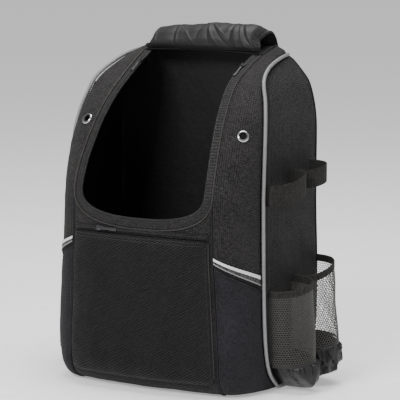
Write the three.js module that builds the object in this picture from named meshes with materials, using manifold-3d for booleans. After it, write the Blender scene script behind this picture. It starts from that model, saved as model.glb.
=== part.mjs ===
// Baseball bat backpack, standing on its base with the big front opening unzipped and its flap thrown back.
// Units are millimetres. +X is the viewer's right, -Y the front, +Y the side with the shoulder straps, +Z up.
import * as THREE from 'three';
import Module from 'manifold-3d';

const wasm = await Module();
wasm.setup();

// Driving sizes
const HALF_WIDTH = 172;
const HALF_DEPTH = 110;
const HEIGHT = 500;
const WALL = 1.8;
const SEAM_GAP = 0.35;
const SKIN_GAP = 0.4;

// Body sections from the floor to the top of the back. Lengths are shares: x of HALF_WIDTH, y of HALF_DEPTH,
// z of HEIGHT. rim = edge of the big opening and front seam, pipe = piped seam, back = corner at the back.
// columns: rimX, rimY, rimZ, pipeX, pipeY, pipeZ, backX, backY, backZ
const BODY = [
  [0.709, -0.709, 0.000, 0.948, 0.091, 0.000, 0.948, 0.927, 0.000],
  [0.721, -0.864, 0.010, 0.962, -0.036, 0.009, 0.965, 0.977, 0.008],
  [0.733, -0.955, 0.030, 0.977, -0.182, 0.028, 0.983, 0.995, 0.026],
  [0.738, -1.000, 0.064, 0.988, -0.345, 0.060, 0.994, 1.000, 0.060],
  [0.733, -1.009, 0.120, 0.994, -0.455, 0.116, 1.000, 1.000, 0.116],
  [0.721, -1.009, 0.200, 0.988, -0.500, 0.200, 1.006, 1.000, 0.200],
  [0.703, -1.009, 0.320, 0.965, -0.482, 0.320, 1.006, 1.000, 0.320],
  [0.686, -1.009, 0.440, 0.939, -0.423, 0.440, 1.006, 1.000, 0.440],
  [0.680, -1.005, 0.560, 0.927, -0.386, 0.560, 1.006, 1.000, 0.560],
  [0.673, -0.925, 0.640, 0.933, -0.382, 0.640, 1.006, 1.000, 0.640],
  [0.652, -0.768, 0.720, 0.935, -0.366, 0.720, 1.003, 1.000, 0.720],
  [0.629, -0.577, 0.790, 0.912, -0.279, 0.790, 0.994, 1.000, 0.788],
  [0.602, -0.340, 0.850, 0.870, -0.165, 0.850, 0.965, 1.000, 0.846],
  [0.576, -0.070, 0.900, 0.817, -0.052, 0.897, 0.919, 1.000, 0.894],
  [0.574, 0.242, 0.940, 0.762, 0.218, 0.934, 0.843, 1.000, 0.928],
  [0.587, 0.573, 0.972, 0.738, 0.545, 0.956, 0.779, 1.000, 0.952],
  [0.599, 0.964, 0.994, 0.721, 0.936, 0.968, 0.733, 1.000, 0.964],
];
const LAST = BODY.length - 1;
const FRONT_BULGE = 9;
const SIDE_BULGE = 3;

// The big opening: its straight sides end where the round bottom of the U begins
const U_TOP_Z = 300;
const U_BOTTOM_Z = 241;
const U_POWER = 2.7;
const HINGE_LEVEL = 15.05;

// Band with the zip tape round the opening
const BAND_SIDE = 13;
const BAND_BOTTOM = 16;
const BAND_THICK = 1.8;
const BAND_GAP = 0.7;

// Diagonal seam on each gusset as shares of HEIGHT; columns: side, height at the front seam, height at the piping
const GUSSET_SEAM = [
  [-1, 0.42, 0.344],
  [1, 0.394, 0.314],
].map(([side, front, piping]) => [side, front * HEIGHT, piping * HEIGHT]);
const ACCENT_WIDTH_FRONT = 9;
const ACCENT_WIDTH_BACK = 15;
const ACCENT_THICK = 0.9;
const ACCENT_LIFT = 1.1;

// Eyelets; columns: side, height as a share of HEIGHT, share of the way across the gusset
const EYELETS = [
  [-1, 0.78, 0.22],
  [1, 0.758, 0.445],
].map(([side, tall, across]) => [side, tall * HEIGHT, across]);
const EYELET_R = 9;
const EYELET_HOLE_R = 4.4;
const EYELET_FIT = 0.35;

const PIPING_R = 2.7;
// Places of the piping's foot along the side, as shares of HALF_DEPTH
const PIPING_FOOT = [0.873, 0.564, 0.255];

// Net sleeves. y and half are shares of HALF_DEPTH, out of HALF_WIDTH, top and drop of HEIGHT
// columns: side, middle y, half length, stand-off at the foot, stand-off at the top, top at the rear, drop to the front
const SLEEVES = [
  [-1, 0.1091, 0.2818, 0.2558, 0.2326, 0.336, 0.032],
  [-1, 0.6909, 0.2636, 0.2791, 0.2558, 0.36, 0.036],
  [1, -0.0545, 0.3, 0.3198, 0.2907, 0.336, 0.032],
  [1, 0.6, 0.3182, 0.3314, 0.2616, 0.374, 0.044],
].map(([side, y, half, out, outTop, top, drop]) => [
  side, y * HALF_DEPTH, half * HALF_DEPTH, out * HALF_WIDTH, outTop * HALF_WIDTH, top * HEIGHT, drop * HEIGHT,
]);
const SLEEVE_WALL = 1.2;
const BINDING_TALL = 11;
const BINDING_WALL = 2.2;

// Elastic loops, in the same shares; columns: side, middle y, half length, stand-off, foot at the rear, height, drop
const LOOPS = [
  [-1, 0.1091, 0.2727, 0.1977, 0.584, 0.062, 0.036],
  [-1, 0.6909, 0.2636, 0.2326, 0.608, 0.054, 0.024],
  [1, -0.0364, 0.2727, 0.2384, 0.584, 0.062, 0.036],
  [1, 0.5182, 0.2455, 0.2442, 0.609, 0.054, 0.024],
].map(([side, y, half, out, low, tall, drop]) => [
  side, y * HALF_DEPTH, half * HALF_DEPTH, out * HALF_WIDTH, low * HEIGHT, tall * HEIGHT, drop * HEIGHT,
]);
const LOOP_WALL = 1.8;

// Gathered boots under the sleeves
const BOOT_TOP_FRONT = 37;
const BOOT_TOP_BACK = 68;
const BOOT_FLOOR = 1.6;
const BOOT_WALL = 1.5;
const GATHERS = 7;
const GATHER_DEEP = 1.6;
// Profile of the boot from its top edge round to the floor; columns: share of the way down, share of stand-off
const BOOT_PROFILE = [
  [0.00, 1.00],
  [0.28, 1.06],
  [0.58, 1.05],
  [0.82, 0.92],
  [0.96, 0.66],
  [1.00, 0.30],
  [1.00, 0.03],
];
// Large slanting folds; columns: place along y share, place down share, half width share, height of HALF_DEPTH
const BOOT_FOLDS = [
  [0.2, 0.55, 0.1, 0.0236],
  [0.48, 0.4, 0.07, -0.0273],
  [0.7, 0.6, 0.09, 0.0309],
  [0.88, 0.35, 0.08, -0.0218],
].map(([y, down, half, high]) => [y, down, half, high * HALF_DEPTH]);

// Front pocket
const POCKET_TOP = 231.4;
const POCKET_BOTTOM = 22;
const POCKET_OUT = 15;
const POCKET_WALL = 1.5;
const POCKET_TAPE = 8.2;
const POCKET_HALF_SHARE = 0.955;
// Soft dents of the pocket; columns: x share, z share, radius share, depth as a share of POCKET_OUT
const POCKET_DENTS = [
  [-0.45, 0.72, 0.35, 0.1467],
  [0.3, 0.55, 0.4, 0.1733],
  [-0.05, 0.25, 0.3, 0.12],
  [0.62, 0.3, 0.28, 0.1067],
].map(([x, z, radius, deep]) => [x, z, radius, deep * POCKET_OUT]);

// Flap thrown back over the top; path in the y-z plane, columns: y of HALF_DEPTH, z of HEIGHT
const FLAP_PATH = [
  [0.5909, 0.98],
  [0.55, 0.994],
  [0.5455, 1.014],
  [0.6091, 1.038],
  [0.7455, 1.053],
  [0.9, 1.046],
  [1.0273, 1.018],
  [1.1091, 0.98],
  [1.1545, 0.93],
  [1.1864, 0.87],
  [1.2273, 0.81],
  [1.3091, 0.744],
  [1.4182, 0.67],
  [1.5091, 0.592],
].map(([y, z]) => [y * HALF_DEPTH, z * HEIGHT]);
const FLAP_HALF = 99;
const FLAP_WALL = 1.6;
const FLAP_CORNER = 46;
// Share by which the right end is drawn in below the ridge
const FLAP_MOUTH = 0.07;
// Lift of the ridge along the width; columns: x share, lift of HEIGHT
const FLAP_RIDGE = [
  [-1, -0.034],
  [-0.86, -0.014],
  [-0.55, -0.006],
  [-0.2, 0],
  [0.27, 0.006],
  [0.62, 0.004],
  [1, 0],
].map(([x, lift]) => [x, lift * HEIGHT]);
// Creases that run over the flap; columns: x share, slant share, half width share, height of HALF_DEPTH
const FLAP_FOLDS = [
  [-0.62, 0.1, 0.07, 0.0236],
  [-0.3, -0.2, 0.06, -0.0182],
  [0.08, 0.3, 0.08, 0.0273],
  [0.42, 0.25, 0.06, -0.02],
  [0.74, -0.15, 0.07, 0.0182],
].map(([x, slant, half, high]) => [x, slant, half, high * HALF_DEPTH]);

// Back: pad, shoulder straps, webbing, haul loop
const BACK_PAD_THICK = 8;
const BACK_PAD_HALF = 72;
const BACK_PAD_LOW = 60;
const BACK_PAD_HIGH = 396;
const STRAP_THICK = 11;
// Shoulder strap, one row down its length. columns: z of HEIGHT, x of its middle and half width of HALF_WIDTH,
// y off the back panel of HALF_DEPTH
const STRAP = [
  [0.952, 0.314, 0.1395, 0.0082],
  [0.9, 0.3314, 0.1512, 0.0082],
  [0.84, 0.3605, 0.1628, 0.0227],
  [0.792, 0.3895, 0.1686, 0.0836],
  [0.73, 0.4302, 0.1744, 0.1636],
  [0.65, 0.4884, 0.1802, 0.2727],
  [0.57, 0.5407, 0.1802, 0.3727],
  [0.48, 0.5872, 0.1802, 0.4364],
  [0.39, 0.6221, 0.1744, 0.4364],
  [0.31, 0.6453, 0.157, 0.3636],
  [0.244, 0.6628, 0.1163, 0.2545],
].map(([z, x, half, off]) => [z * HEIGHT, x * HALF_WIDTH, half * HALF_WIDTH, off * HALF_DEPTH]);
const WEB_HALF = 12.5;
const WEB_THICK = 1.6;
// Webbing: heights of its sewn foot and slack as shares of HEIGHT, how far the slack stands off, and its free end
const WEB_FOOT = [0.08, 0.104, 0.16];
const WEB_ANCHOR = 148;
const WEB_SLACK = 16;
const WEB_TAIL = 62;
const LOCK_HALF = 19;
const LOCK_TALL = 22;
const LOCK_THICK = 5;
const LOCK_SLOTS = [0.295, 0.705].map((share) => share * LOCK_TALL);
const LOCK_SLOT_TALL = 4.6;

const COLOURS = {
  upper: 0x3a3736,
  lower: 0x28262b,
  lining: 0x202022,
  nylon: 0x2b2b2e,
  mesh: 0x232326,
  elastic: 0x1c1c1e,
  tape: 0x2e2e30,
  piping: 0xa8a8a8,
  accent: 0xd9d9d9,
  metal: 0x3c3c40,
  pad: 0x26262a,
  webbing: 0x1f1f22,
};

// Helpers: interpolation
const clamp = (v, lo, hi) => Math.min(hi, Math.max(lo, v));
const mix = (a, b, t) => a + (b - a) * t;
const bump = (d) => (Math.abs(d) >= 1 ? 0 : (1 - d * d) ** 2);

function cubic(p0, p1, p2, p3, t) {
  const a = 2 * p1;
  const b = p2 - p0;
  const c = 2 * p0 - 5 * p1 + 4 * p2 - p3;
  const d = -p0 + 3 * p1 - 3 * p2 + p3;
  return 0.5 * (a + b * t + c * t * t + d * t * t * t);
}

// Smooth value of one column at a fractional row
function rowAt(rows, column, place) {
  const n = rows.length - 1;
  const s = clamp(place, 0, n);
  const i = Math.min(Math.floor(s), n - 1);
  const before = rows[Math.max(i - 1, 0)][column];
  const after = rows[Math.min(i + 2, n)][column];
  return cubic(before, rows[i][column], rows[i + 1][column], after, s - i);
}

// Value of a column where the first column equals key, straight between rows
function keyAt(rows, key, column) {
  const last = rows[rows.length - 1];
  if (key <= rows[0][0]) return rows[0][column];
  for (let i = 0; i < rows.length - 1; i += 1) {
    if (key <= rows[i + 1][0]) {
      const t = (key - rows[i][0]) / (rows[i + 1][0] - rows[i][0]);
      return mix(rows[i][column], rows[i + 1][column], t);
    }
  }
  return last[column];
}

// Body surface: u 0 front middle, 1 front seam, 2 piping, 3 back corner; level is a fractional row of BODY
function corner(kind, level) {
  const at = 3 * kind;
  return new THREE.Vector3(
    rowAt(BODY, at, level) * HALF_WIDTH,
    rowAt(BODY, at + 1, level) * HALF_DEPTH,
    rowAt(BODY, at + 2, level) * HEIGHT,
  );
}

function bodyPoint(u, level) {
  const side = u < 0 ? -1 : 1;
  const s = Math.abs(u);
  const rim = corner(0, level);
  const pipe = corner(1, level);
  let p;
  if (s <= 1) {
    p = new THREE.Vector3(s * rim.x, rim.y - FRONT_BULGE * (1 - s * s), rim.z);
  } else if (s <= 2) {
    const a = ((s - 1) * Math.PI) / 2;
    const round = 1 - Math.cos(a);
    p = new THREE.Vector3(
      mix(rim.x, pipe.x, Math.sin(a)),
      mix(rim.y, pipe.y, round),
      mix(rim.z, pipe.z, round),
    );
  } else {
    const back = corner(2, level);
    const t = s - 2;
    p = pipe.clone().lerp(back, t);
    p.x += SIDE_BULGE * Math.sin(Math.PI * t);
  }
  p.x *= side;
  return p;
}

function bodyNormal(u, level) {
  const side = u < 0 ? -1 : 1;
  const s = clamp(Math.abs(u), 0.01, 2.98);
  const l = clamp(level, 0.02, LAST - 0.02);
  const du = bodyPoint(side * (s + 0.01), l).sub(bodyPoint(side * (s - 0.01), l)).multiplyScalar(side);
  const dl = bodyPoint(side * s, l + 0.02).sub(bodyPoint(side * s, l - 0.02));
  return du.cross(dl).normalize();
}

const offBody = (u, level, out) => bodyPoint(u, level).addScaledVector(bodyNormal(u, level), out);

// Level where the body line at u reaches height z
function levelAt(u, z) {
  let lo = 0;
  let hi = LAST;
  for (let i = 0; i < 40; i += 1) {
    const mid = (lo + hi) / 2;
    if (bodyPoint(u, mid).z < z) lo = mid;
    else hi = mid;
  }
  return (lo + hi) / 2;
}

// Outer side surface as x at a given y and z
function sideX(side, y, z) {
  const level = levelAt(2.4, z);
  const pipe = corner(1, level);
  const back = corner(2, level);
  const t = clamp((y - pipe.y) / (back.y - pipe.y), 0, 1);
  return side * (mix(pipe.x, back.x, t) + SIDE_BULGE * Math.sin(Math.PI * t));
}

// Helpers: closed solids
const GROUP = new THREE.Group();
GROUP.name = 'baseball_bat_backpack';

function addMesh(name, geometry, colour, rough = 0.85, metal = 0) {
  const material = new THREE.MeshStandardMaterial({ color: colour, roughness: rough, metalness: metal });
  const mesh = new THREE.Mesh(geometry, material);
  mesh.name = name;
  GROUP.add(mesh);
  return mesh;
}

function fromLists(points, faces) {
  const geometry = new THREE.BufferGeometry();
  geometry.setAttribute('position', new THREE.Float32BufferAttribute(points.flatMap((p) => [p.x, p.y, p.z]), 3));
  geometry.setIndex(faces.flat());
  let volume = 0;
  for (const [a, b, c] of faces) {
    volume += points[a].dot(points[b].clone().cross(points[c]));
  }
  if (volume < 0) geometry.setIndex(faces.flatMap(([a, b, c]) => [a, c, b]));
  geometry.computeVertexNormals();
  return geometry;
}

// A sheet between two grids of points; closedU joins the last column to the first
function sheet(outer, inner, closedU = false) {
  const rows = outer.length;
  const cols = outer[0].length;
  const points = [...outer.flat(), ...inner.flat()];
  const base = rows * cols;
  const faces = [];
  const spanU = closedU ? cols : cols - 1;
  for (let r = 0; r < rows - 1; r += 1) {
    for (let c = 0; c < spanU; c += 1) {
      const d = (c + 1) % cols;
      const a = r * cols + c;
      const b = r * cols + d;
      const e = (r + 1) * cols + c;
      const f = (r + 1) * cols + d;
      faces.push([a, b, f], [a, f, e]);
      faces.push([base + a, base + f, base + b], [base + a, base + e, base + f]);
    }
  }
  for (let c = 0; c < spanU; c += 1) {
    const d = (c + 1) % cols;
    const top = (rows - 1) * cols;
    faces.push([c, base + c, base + d], [c, base + d, d]);
    faces.push([top + c, top + d, base + top + d], [top + c, base + top + d, base + top + c]);
  }
  if (!closedU) {
    for (let r = 0; r < rows - 1; r += 1) {
      const a = r * cols;
      const b = (r + 1) * cols;
      const z = cols - 1;
      faces.push([a, b, base + b], [a, base + b, base + a]);
      faces.push([a + z, base + a + z, base + b + z], [a + z, base + b + z, b + z]);
    }
  }
  return fromLists(points, faces);
}

// Grid of points from a function of two shares
function grid(nu, nv, f) {
  const rows = [];
  for (let j = 0; j <= nv; j += 1) {
    const row = [];
    for (let i = 0; i <= nu; i += 1) row.push(f(i / nu, j / nv));
    rows.push(row);
  }
  return rows;
}

// Solid swept along a path with a flat section: across and normal give the section's frame at each station
function ribbon(stations) {
  const outer = stations.map((s) => [s.a1, s.b1]);
  const inner = stations.map((s) => [s.a0, s.b0]);
  return sheet(outer, inner);
}

// Round cord along points
function cord(points, radius, sides) {
  const rings = [];
  const n = points.length;
  let last = new THREE.Vector3(0, 0, 1);
  for (let i = 0; i < n; i += 1) {
    const t = points[Math.min(i + 1, n - 1)].clone().sub(points[Math.max(i - 1, 0)]).normalize();
    const a = last.clone().addScaledVector(t, -last.dot(t));
    if (a.length() < 0.1) a.set(1, 0, 0).addScaledVector(t, -t.x);
    a.normalize();
    last = a.clone();
    const b = t.clone().cross(a);
    const ring = [];
    for (let k = 0; k < sides; k += 1) {
      const w = (2 * Math.PI * k) / sides;
      const p = points[i].clone();
      p.addScaledVector(a, radius * Math.cos(w));
      p.addScaledVector(b, radius * Math.sin(w));
      ring.push(p);
    }
    rings.push(ring);
  }
  const all = rings.flat();
  const faces = [];
  for (let i = 0; i < n - 1; i += 1) {
    for (let k = 0; k < sides; k += 1) {
      const m = (k + 1) % sides;
      const a = i * sides + k;
      const b = i * sides + m;
      faces.push([a, b, b + sides], [a, b + sides, a + sides]);
    }
  }
  for (let k = 1; k < sides - 1; k += 1) {
    const top = (n - 1) * sides;
    faces.push([0, k + 1, k], [top, top + k, top + k + 1]);
  }
  return fromLists(all, faces);
}

function toManifold(geometry) {
  return new wasm.Manifold(new wasm.Mesh({
    numProp: 3,
    vertProperties: new Float32Array(geometry.attributes.position.array),
    triVerts: new Uint32Array(geometry.index.array),
  }));
}

function fromManifold(solid) {
  const m = solid.getMesh();
  const geometry = new THREE.BufferGeometry();
  const flat = [];
  for (let i = 0; i < m.numVert; i += 1) {
    for (let k = 0; k < 3; k += 1) flat.push(m.vertProperties[i * m.numProp + k]);
  }
  geometry.setAttribute('position', new THREE.Float32BufferAttribute(flat, 3));
  geometry.setIndex(Array.from(m.triVerts));
  geometry.computeVertexNormals();
  return geometry;
}

const sideName = (side) => (side < 0 ? 'left' : 'right');

// A cloth panel in the body surface
function bodyPanel(us, levelLow, levelHigh, nv, wall) {
  const outer = [];
  const inner = [];
  for (let j = 0; j <= nv; j += 1) {
    const a = [];
    const b = [];
    for (const u of us) {
      const level = mix(levelLow(u), levelHigh(u), j / nv);
      a.push(bodyPoint(u, level));
      b.push(offBody(u, level, -wall));
    }
    outer.push(a);
    inner.push(b);
  }
  return sheet(outer, inner);
}

const spread = (from, to, n) => Array.from({ length: n + 1 }, (_, i) => mix(from, to, i / n));

// Heights of the round bottom of the opening, at share s of the half width
function openingZ(s) {
  const t = clamp(Math.abs(s), 0, 1) ** U_POWER;
  return U_TOP_Z - (U_TOP_Z - U_BOTTOM_Z) * (1 - t) ** (1 / U_POWER);
}

// Seam gaps given as small steps of u and level
const U_GAP_FRONT = SEAM_GAP / 120;
const U_GAP_GUSSET = SEAM_GAP / 90;
const SIDE_FRONT_GAP = 2.6;
const SIDE_BACK_GAP = 2.5;

// Front panel under the opening
const ROUND_STEPS = 16;
const roundShare = (a) => Math.sign(Math.cos(a)) * Math.abs(Math.cos(a)) ** (2 / U_POWER);
const frontUs = spread(Math.PI, 0, ROUND_STEPS).map((a) => roundShare(a) * (1 - U_GAP_FRONT));
addMesh(
  'front_panel',
  bodyPanel(frontUs, () => 0, (u) => levelAt(u * 0.999, openingZ(u)), 7, WALL),
  COLOURS.upper,
);

// Gussets in two fabrics either side of a slanting seam
function seamLevel(side, u, shift) {
  const row = GUSSET_SEAM.find((r) => r[0] === side);
  return levelAt(u, mix(row[1], row[2], u - 1) + shift);
}

for (const side of [-1, 1]) {
  const us = spread(1 + U_GAP_GUSSET, 2 - U_GAP_GUSSET, 5).map((u) => u * side);
  const low = bodyPanel(us, () => 0, (u) => seamLevel(side, Math.abs(u), -SEAM_GAP / 2), 7, WALL);
  addMesh(`gusset_lower_${sideName(side)}`, low, COLOURS.lower);
  const high = bodyPanel(us, (u) => seamLevel(side, Math.abs(u), SEAM_GAP / 2), () => LAST, 13, WALL);
  // Hole for the eyelet
  const row = EYELETS.find((r) => r[0] === side);
  const u = side * (1 + row[2]);
  const level = levelAt(Math.abs(u), row[1]);
  const at = bodyPoint(u, level);
  const n = bodyNormal(u, level);
  const drill = new THREE.CylinderGeometry(EYELET_HOLE_R + 1.6, EYELET_HOLE_R + 1.6, 12, 18);
  drill.applyQuaternion(new THREE.Quaternion().setFromUnitVectors(new THREE.Vector3(0, 1, 0), n));
  drill.translate(at.x, at.y, at.z);
  const cut = toManifold(high).subtract(toManifold(weld(drill)));
  addMesh(`gusset_upper_${sideName(side)}`, fromManifold(cut), COLOURS.upper);
  // Eyelet: rolled flange outside, barrel through the cloth
  const barrel = EYELET_HOLE_R + 1.6 - EYELET_FIT;
  const profile = [
    [EYELET_HOLE_R, -WALL - 1.0],
    [barrel, -WALL - 1.0],
    [barrel, EYELET_FIT],
    [EYELET_R, EYELET_FIT],
    [EYELET_R - 2.0, 2.2],
    [EYELET_HOLE_R, 1.4],
    [EYELET_HOLE_R, -WALL - 1.0],
  ];
  const ring = new THREE.LatheGeometry(profile.map(([x, y]) => new THREE.Vector2(x, y)), 18);
  ring.applyQuaternion(new THREE.Quaternion().setFromUnitVectors(new THREE.Vector3(0, 1, 0), n));
  const lift = at.clone().addScaledVector(n, 0.15);
  ring.translate(lift.x, lift.y, lift.z);
  addMesh(`eyelet_${sideName(side)}`, weld(ring), COLOURS.metal, 0.35, 1);
}

// Join vertices that share a place
function weld(geometry) {
  const pos = geometry.attributes.position;
  const index = geometry.index ? Array.from(geometry.index.array) : Array.from({ length: pos.count }, (_, i) => i);
  const seen = new Map();
  const points = [];
  const map = [];
  for (let i = 0; i < pos.count; i += 1) {
    const p = new THREE.Vector3().fromBufferAttribute(pos, i);
    const key = [p.x, p.y, p.z].map((v) => Math.round(v * 1e4)).join(',');
    if (!seen.has(key)) {
      seen.set(key, points.length);
      points.push(p);
    }
    map.push(seen.get(key));
  }
  const faces = [];
  for (let i = 0; i < index.length; i += 3) {
    const f = [map[index[i]], map[index[i + 1]], map[index[i + 2]]];
    if (f[0] !== f[1] && f[1] !== f[2] && f[2] !== f[0]) faces.push(f);
  }
  return fromLists(points, faces);
}

// Side panels between the piping and the back corner
for (const side of [-1, 1]) {
  const outer = [];
  const inner = [];
  for (const level of spread(0, LAST, 17)) {
    const long = corner(1, level).distanceTo(corner(2, level));
    const start = Math.min(SIDE_FRONT_GAP / long, 0.25);
    const end = Math.max(1 - SIDE_BACK_GAP / long, 0.55);
    const us = [0, 0.3, 0.65, 1].map((t) => side * (2 + mix(start, end, t)));
    outer.push(us.map((u) => bodyPoint(u, level)));
    inner.push(us.map((u) => offBody(u, level, -WALL)));
  }
  addMesh(`side_panel_${sideName(side)}`, sheet(outer, inner), COLOURS.upper);
}

// Back panel, flat with rounded foot
const backRows = [];
const backInner = [];
for (let j = 0; j <= 15; j += 1) {
  const level = (j / 15) * LAST;
  const c = corner(2, level);
  const c2 = corner(2, Math.max(level - 0.5, 0));
  const tilt = level < 2.5 ? Math.atan2(c.y - c2.y, Math.max(c.z - c2.z, 0.1)) : 0;
  const lean = level === 0 ? 1.2 : tilt;
  const outer = [];
  const inner = [];
  for (const t of [-1, -0.6, -0.2, 0.2, 0.6, 1]) {
    const x = t * (c.x - 0.4);
    outer.push(new THREE.Vector3(x, c.y, c.z));
    inner.push(new THREE.Vector3(x, c.y - WALL * Math.cos(lean), c.z + WALL * Math.sin(lean)));
  }
  backRows.push(outer);
  backInner.push(inner);
}
for (const [rows, drop] of [[backRows, 0], [backInner, WALL]]) {
  const top = rows[rows.length - 1];
  rows.push(top.map((p) => new THREE.Vector3(p.x * 0.82, HALF_DEPTH - drop, 0.996 * HEIGHT)));
}
addMesh('back_panel', sheet(backRows, backInner), COLOURS.lower);

// Base: one flat plate inside the foot of the walls
const BASE_GAP = 0.6;
const baseLine = [];
for (const side of [1, -1]) {
  const half = [0, 0.35, 0.7, ...spread(1, 2, 5), 2.3, 2.65, 2.95];
  const us = side > 0 ? half : half.slice().reverse();
  for (const u of us) {
    const p = offBody(side * u, 0, -WALL);
    const q = new THREE.Vector2(p.x, p.y);
    baseLine.push(q.multiplyScalar(1 - BASE_GAP / q.length()));
  }
}
const baseShape = new THREE.Shape(baseLine.slice(0, -1));
const baseGeometry = new THREE.ExtrudeGeometry(baseShape, { depth: 2.4, bevelEnabled: false });
addMesh('base_panel', weld(baseGeometry), COLOURS.lower);

// Top strip between the hinge of the flap and the back panel
const stripBack = LAST - 0.13;
function stripPoint(s, t, drop) {
  const level = mix(HINGE_LEVEL + 0.02, stripBack, t);
  const rim = corner(0, level);
  const x = s * (rim.x - SEAM_GAP);
  return new THREE.Vector3(x, rim.y, rim.z + 3 * (1 - s * s) - drop);
}
addMesh(
  'top_strip',
  sheet(
    grid(8, 3, (a, t) => stripPoint(2 * a - 1, t, 0)),
    grid(8, 3, (a, t) => stripPoint(2 * a - 1, t, WALL)),
  ),
  COLOURS.upper,
);

// Band round the opening: stations from the left hinge round the bottom to the right hinge
function bandStations() {
  const list = [];
  const straight = 12;
  const round = ROUND_STEPS;
  const levelU = levelAt(1, U_TOP_Z);
  for (let i = 0; i < straight; i += 1) {
    const level = mix(HINGE_LEVEL - 0.15, levelU, i / straight);
    const p = corner(0, level);
    const q = corner(0, level + 0.05).sub(corner(0, level - 0.05)).normalize();
    list.push({ p, n: new THREE.Vector3(0, -q.z, q.y).normalize(), across: new THREE.Vector3(-1, 0, 0), w: BAND_SIDE });
  }
  for (let i = 0; i <= round; i += 1) {
    const a = (i / round) * Math.PI;
    const s = roundShare(a);
    const z = U_TOP_Z - (U_TOP_Z - U_BOTTOM_Z) * Math.sin(a) ** (2 / U_POWER);
    const level = levelAt(Math.min(Math.abs(s), 0.999), z);
    const p = bodyPoint(s, level);
    const e = 0.02;
    const b = Math.min(a + e, Math.PI);
    const c = Math.max(a - e, 0);
    const place = (w) => new THREE.Vector3(
      roundShare(w) * corner(0, level).x,
      0,
      U_TOP_Z - (U_TOP_Z - U_BOTTOM_Z) * Math.sin(w) ** (2 / U_POWER),
    );
    const t = place(b).sub(place(c)).normalize();
    const n = bodyNormal(s, level);
    const across = new THREE.Vector3(t.z, 0, -t.x);
    across.addScaledVector(n, -across.dot(n)).normalize();
    list.push({ p, n, across, w: mix(BAND_SIDE, BAND_BOTTOM, Math.sin(a)) });
  }
  const left = list.slice(0, straight).reverse().map((s) => ({
    p: new THREE.Vector3(-s.p.x, s.p.y, s.p.z),
    n: s.n.clone(),
    across: new THREE.Vector3(1, 0, 0),
    w: s.w,
  }));
  return [...list, ...left];
}
const band = bandStations();
function bandRibbon(from, to, lift, thick) {
  return ribbon(band.map((s) => {
    const a = s.p.clone().addScaledVector(s.across, from);
    const b = s.p.clone().addScaledVector(s.across, to(s));
    return {
      a0: a.clone().addScaledVector(s.n, lift),
      a1: a.clone().addScaledVector(s.n, lift + thick),
      b0: b.clone().addScaledVector(s.n, lift),
      b1: b.clone().addScaledVector(s.n, lift + thick),
    };
  }));
}
addMesh('opening_band', bandRibbon(BAND_GAP, (s) => s.w, -BAND_THICK, BAND_THICK), COLOURS.tape);

// Piping round each side panel: along its foot, up its front edge and back over the top
const PIPE_STEPS = 32;
function pipingPoint(side, level) {
  const n = bodyNormal(side * 1.97, level).add(bodyNormal(side * 2.06, level)).normalize();
  return bodyPoint(side * 2, level).addScaledVector(n, PIPING_R + SKIN_GAP + 0.3);
}
for (const side of [-1, 1]) {
  const line = [];
  const footZ = PIPING_R + 0.4;
  for (const y of PIPING_FOOT.map((share) => share * HALF_DEPTH)) {
    line.push(new THREE.Vector3(sideX(side, y, footZ + 3) + side * (PIPING_R + SKIN_GAP), y, footZ));
  }
  for (const level of spread(0.7, LAST - 0.15, PIPE_STEPS)) {
    const p = pipingPoint(side, level);
    const sunk = Math.max(footZ - p.z, 0);
    p.z += sunk;
    p.x += side * 0.8 * sunk;
    line.push(p);
  }
  addMesh(`piping_${sideName(side)}`, cord(line, PIPING_R, 6), COLOURS.piping, 0.45);
}

// Light trim that follows each slanting seam
for (const side of [-1, 1]) {
  const us = spread(1.03, 1.93, 6);
  const place = (u, t, out) => {
    const share = (u - 1.03) / 0.9;
    const tall = mix(ACCENT_WIDTH_FRONT, ACCENT_WIDTH_BACK, share);
    const level = seamLevel(side, u, 2.5 + t * tall);
    return offBody(side * u, level, out);
  };
  const outer = [0, 0.5, 1].map((t) => us.map((u) => place(u, t, ACCENT_LIFT + ACCENT_THICK)));
  const inner = [0, 0.5, 1].map((t) => us.map((u) => place(u, t, ACCENT_LIFT)));
  addMesh(`accent_${sideName(side)}`, sheet(outer, inner), COLOURS.accent, 0.4);
}

// Front pocket: a soft dish whose rim lies on the front panel
function pocketPoint(s, t, drop) {
  const z = mix(POCKET_BOTTOM, POCKET_TOP, t);
  const level = levelAt(0.5, z);
  const u = s * POCKET_HALF_SHARE;
  const edge = (1 - Math.abs(s) ** 5) * (1 - Math.abs(2 * t - 1) ** 7);
  let out = POCKET_OUT * edge ** 0.45;
  for (const [x, y, r, deep] of POCKET_DENTS) {
    out -= deep * bump(Math.hypot((s - x) / r, (t - y) / r)) * edge;
  }
  return offBody(u, level, SKIN_GAP + POCKET_WALL - drop + out);
}
const pocketS = spread(-1, 1, 12).map((s) => Math.sin((s * Math.PI) / 2));
const pocketT = spread(-1, 1, 11).map((s) => 0.5 + 0.5 * Math.sin((s * Math.PI) / 2));
addMesh(
  'front_pocket',
  sheet(
    pocketT.map((t) => pocketS.map((s) => pocketPoint(s, t, 0))),
    pocketT.map((t) => pocketS.map((s) => pocketPoint(s * 0.988, mix(0.5, t, 0.988), POCKET_WALL))),
  ),
  COLOURS.lower,
);

// Zip tape above the pocket
function tapePoint(s, z, out) {
  return offBody(s * POCKET_HALF_SHARE, levelAt(0.5, z), out);
}
const TAPE_THICK = 1.4;
addMesh(
  'pocket_tape',
  sheet(
    [POCKET_TOP + 0.6, POCKET_TOP + 0.6 + POCKET_TAPE].map((z) => spread(-1, 1, 10).map(
      (s) => tapePoint(s, z, SKIN_GAP + TAPE_THICK),
    )),
    [POCKET_TOP + 0.6, POCKET_TOP + 0.6 + POCKET_TAPE].map((z) => spread(-1, 1, 10).map(
      (s) => tapePoint(s, z, SKIN_GAP),
    )),
  ),
  COLOURS.tape,
);

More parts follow.
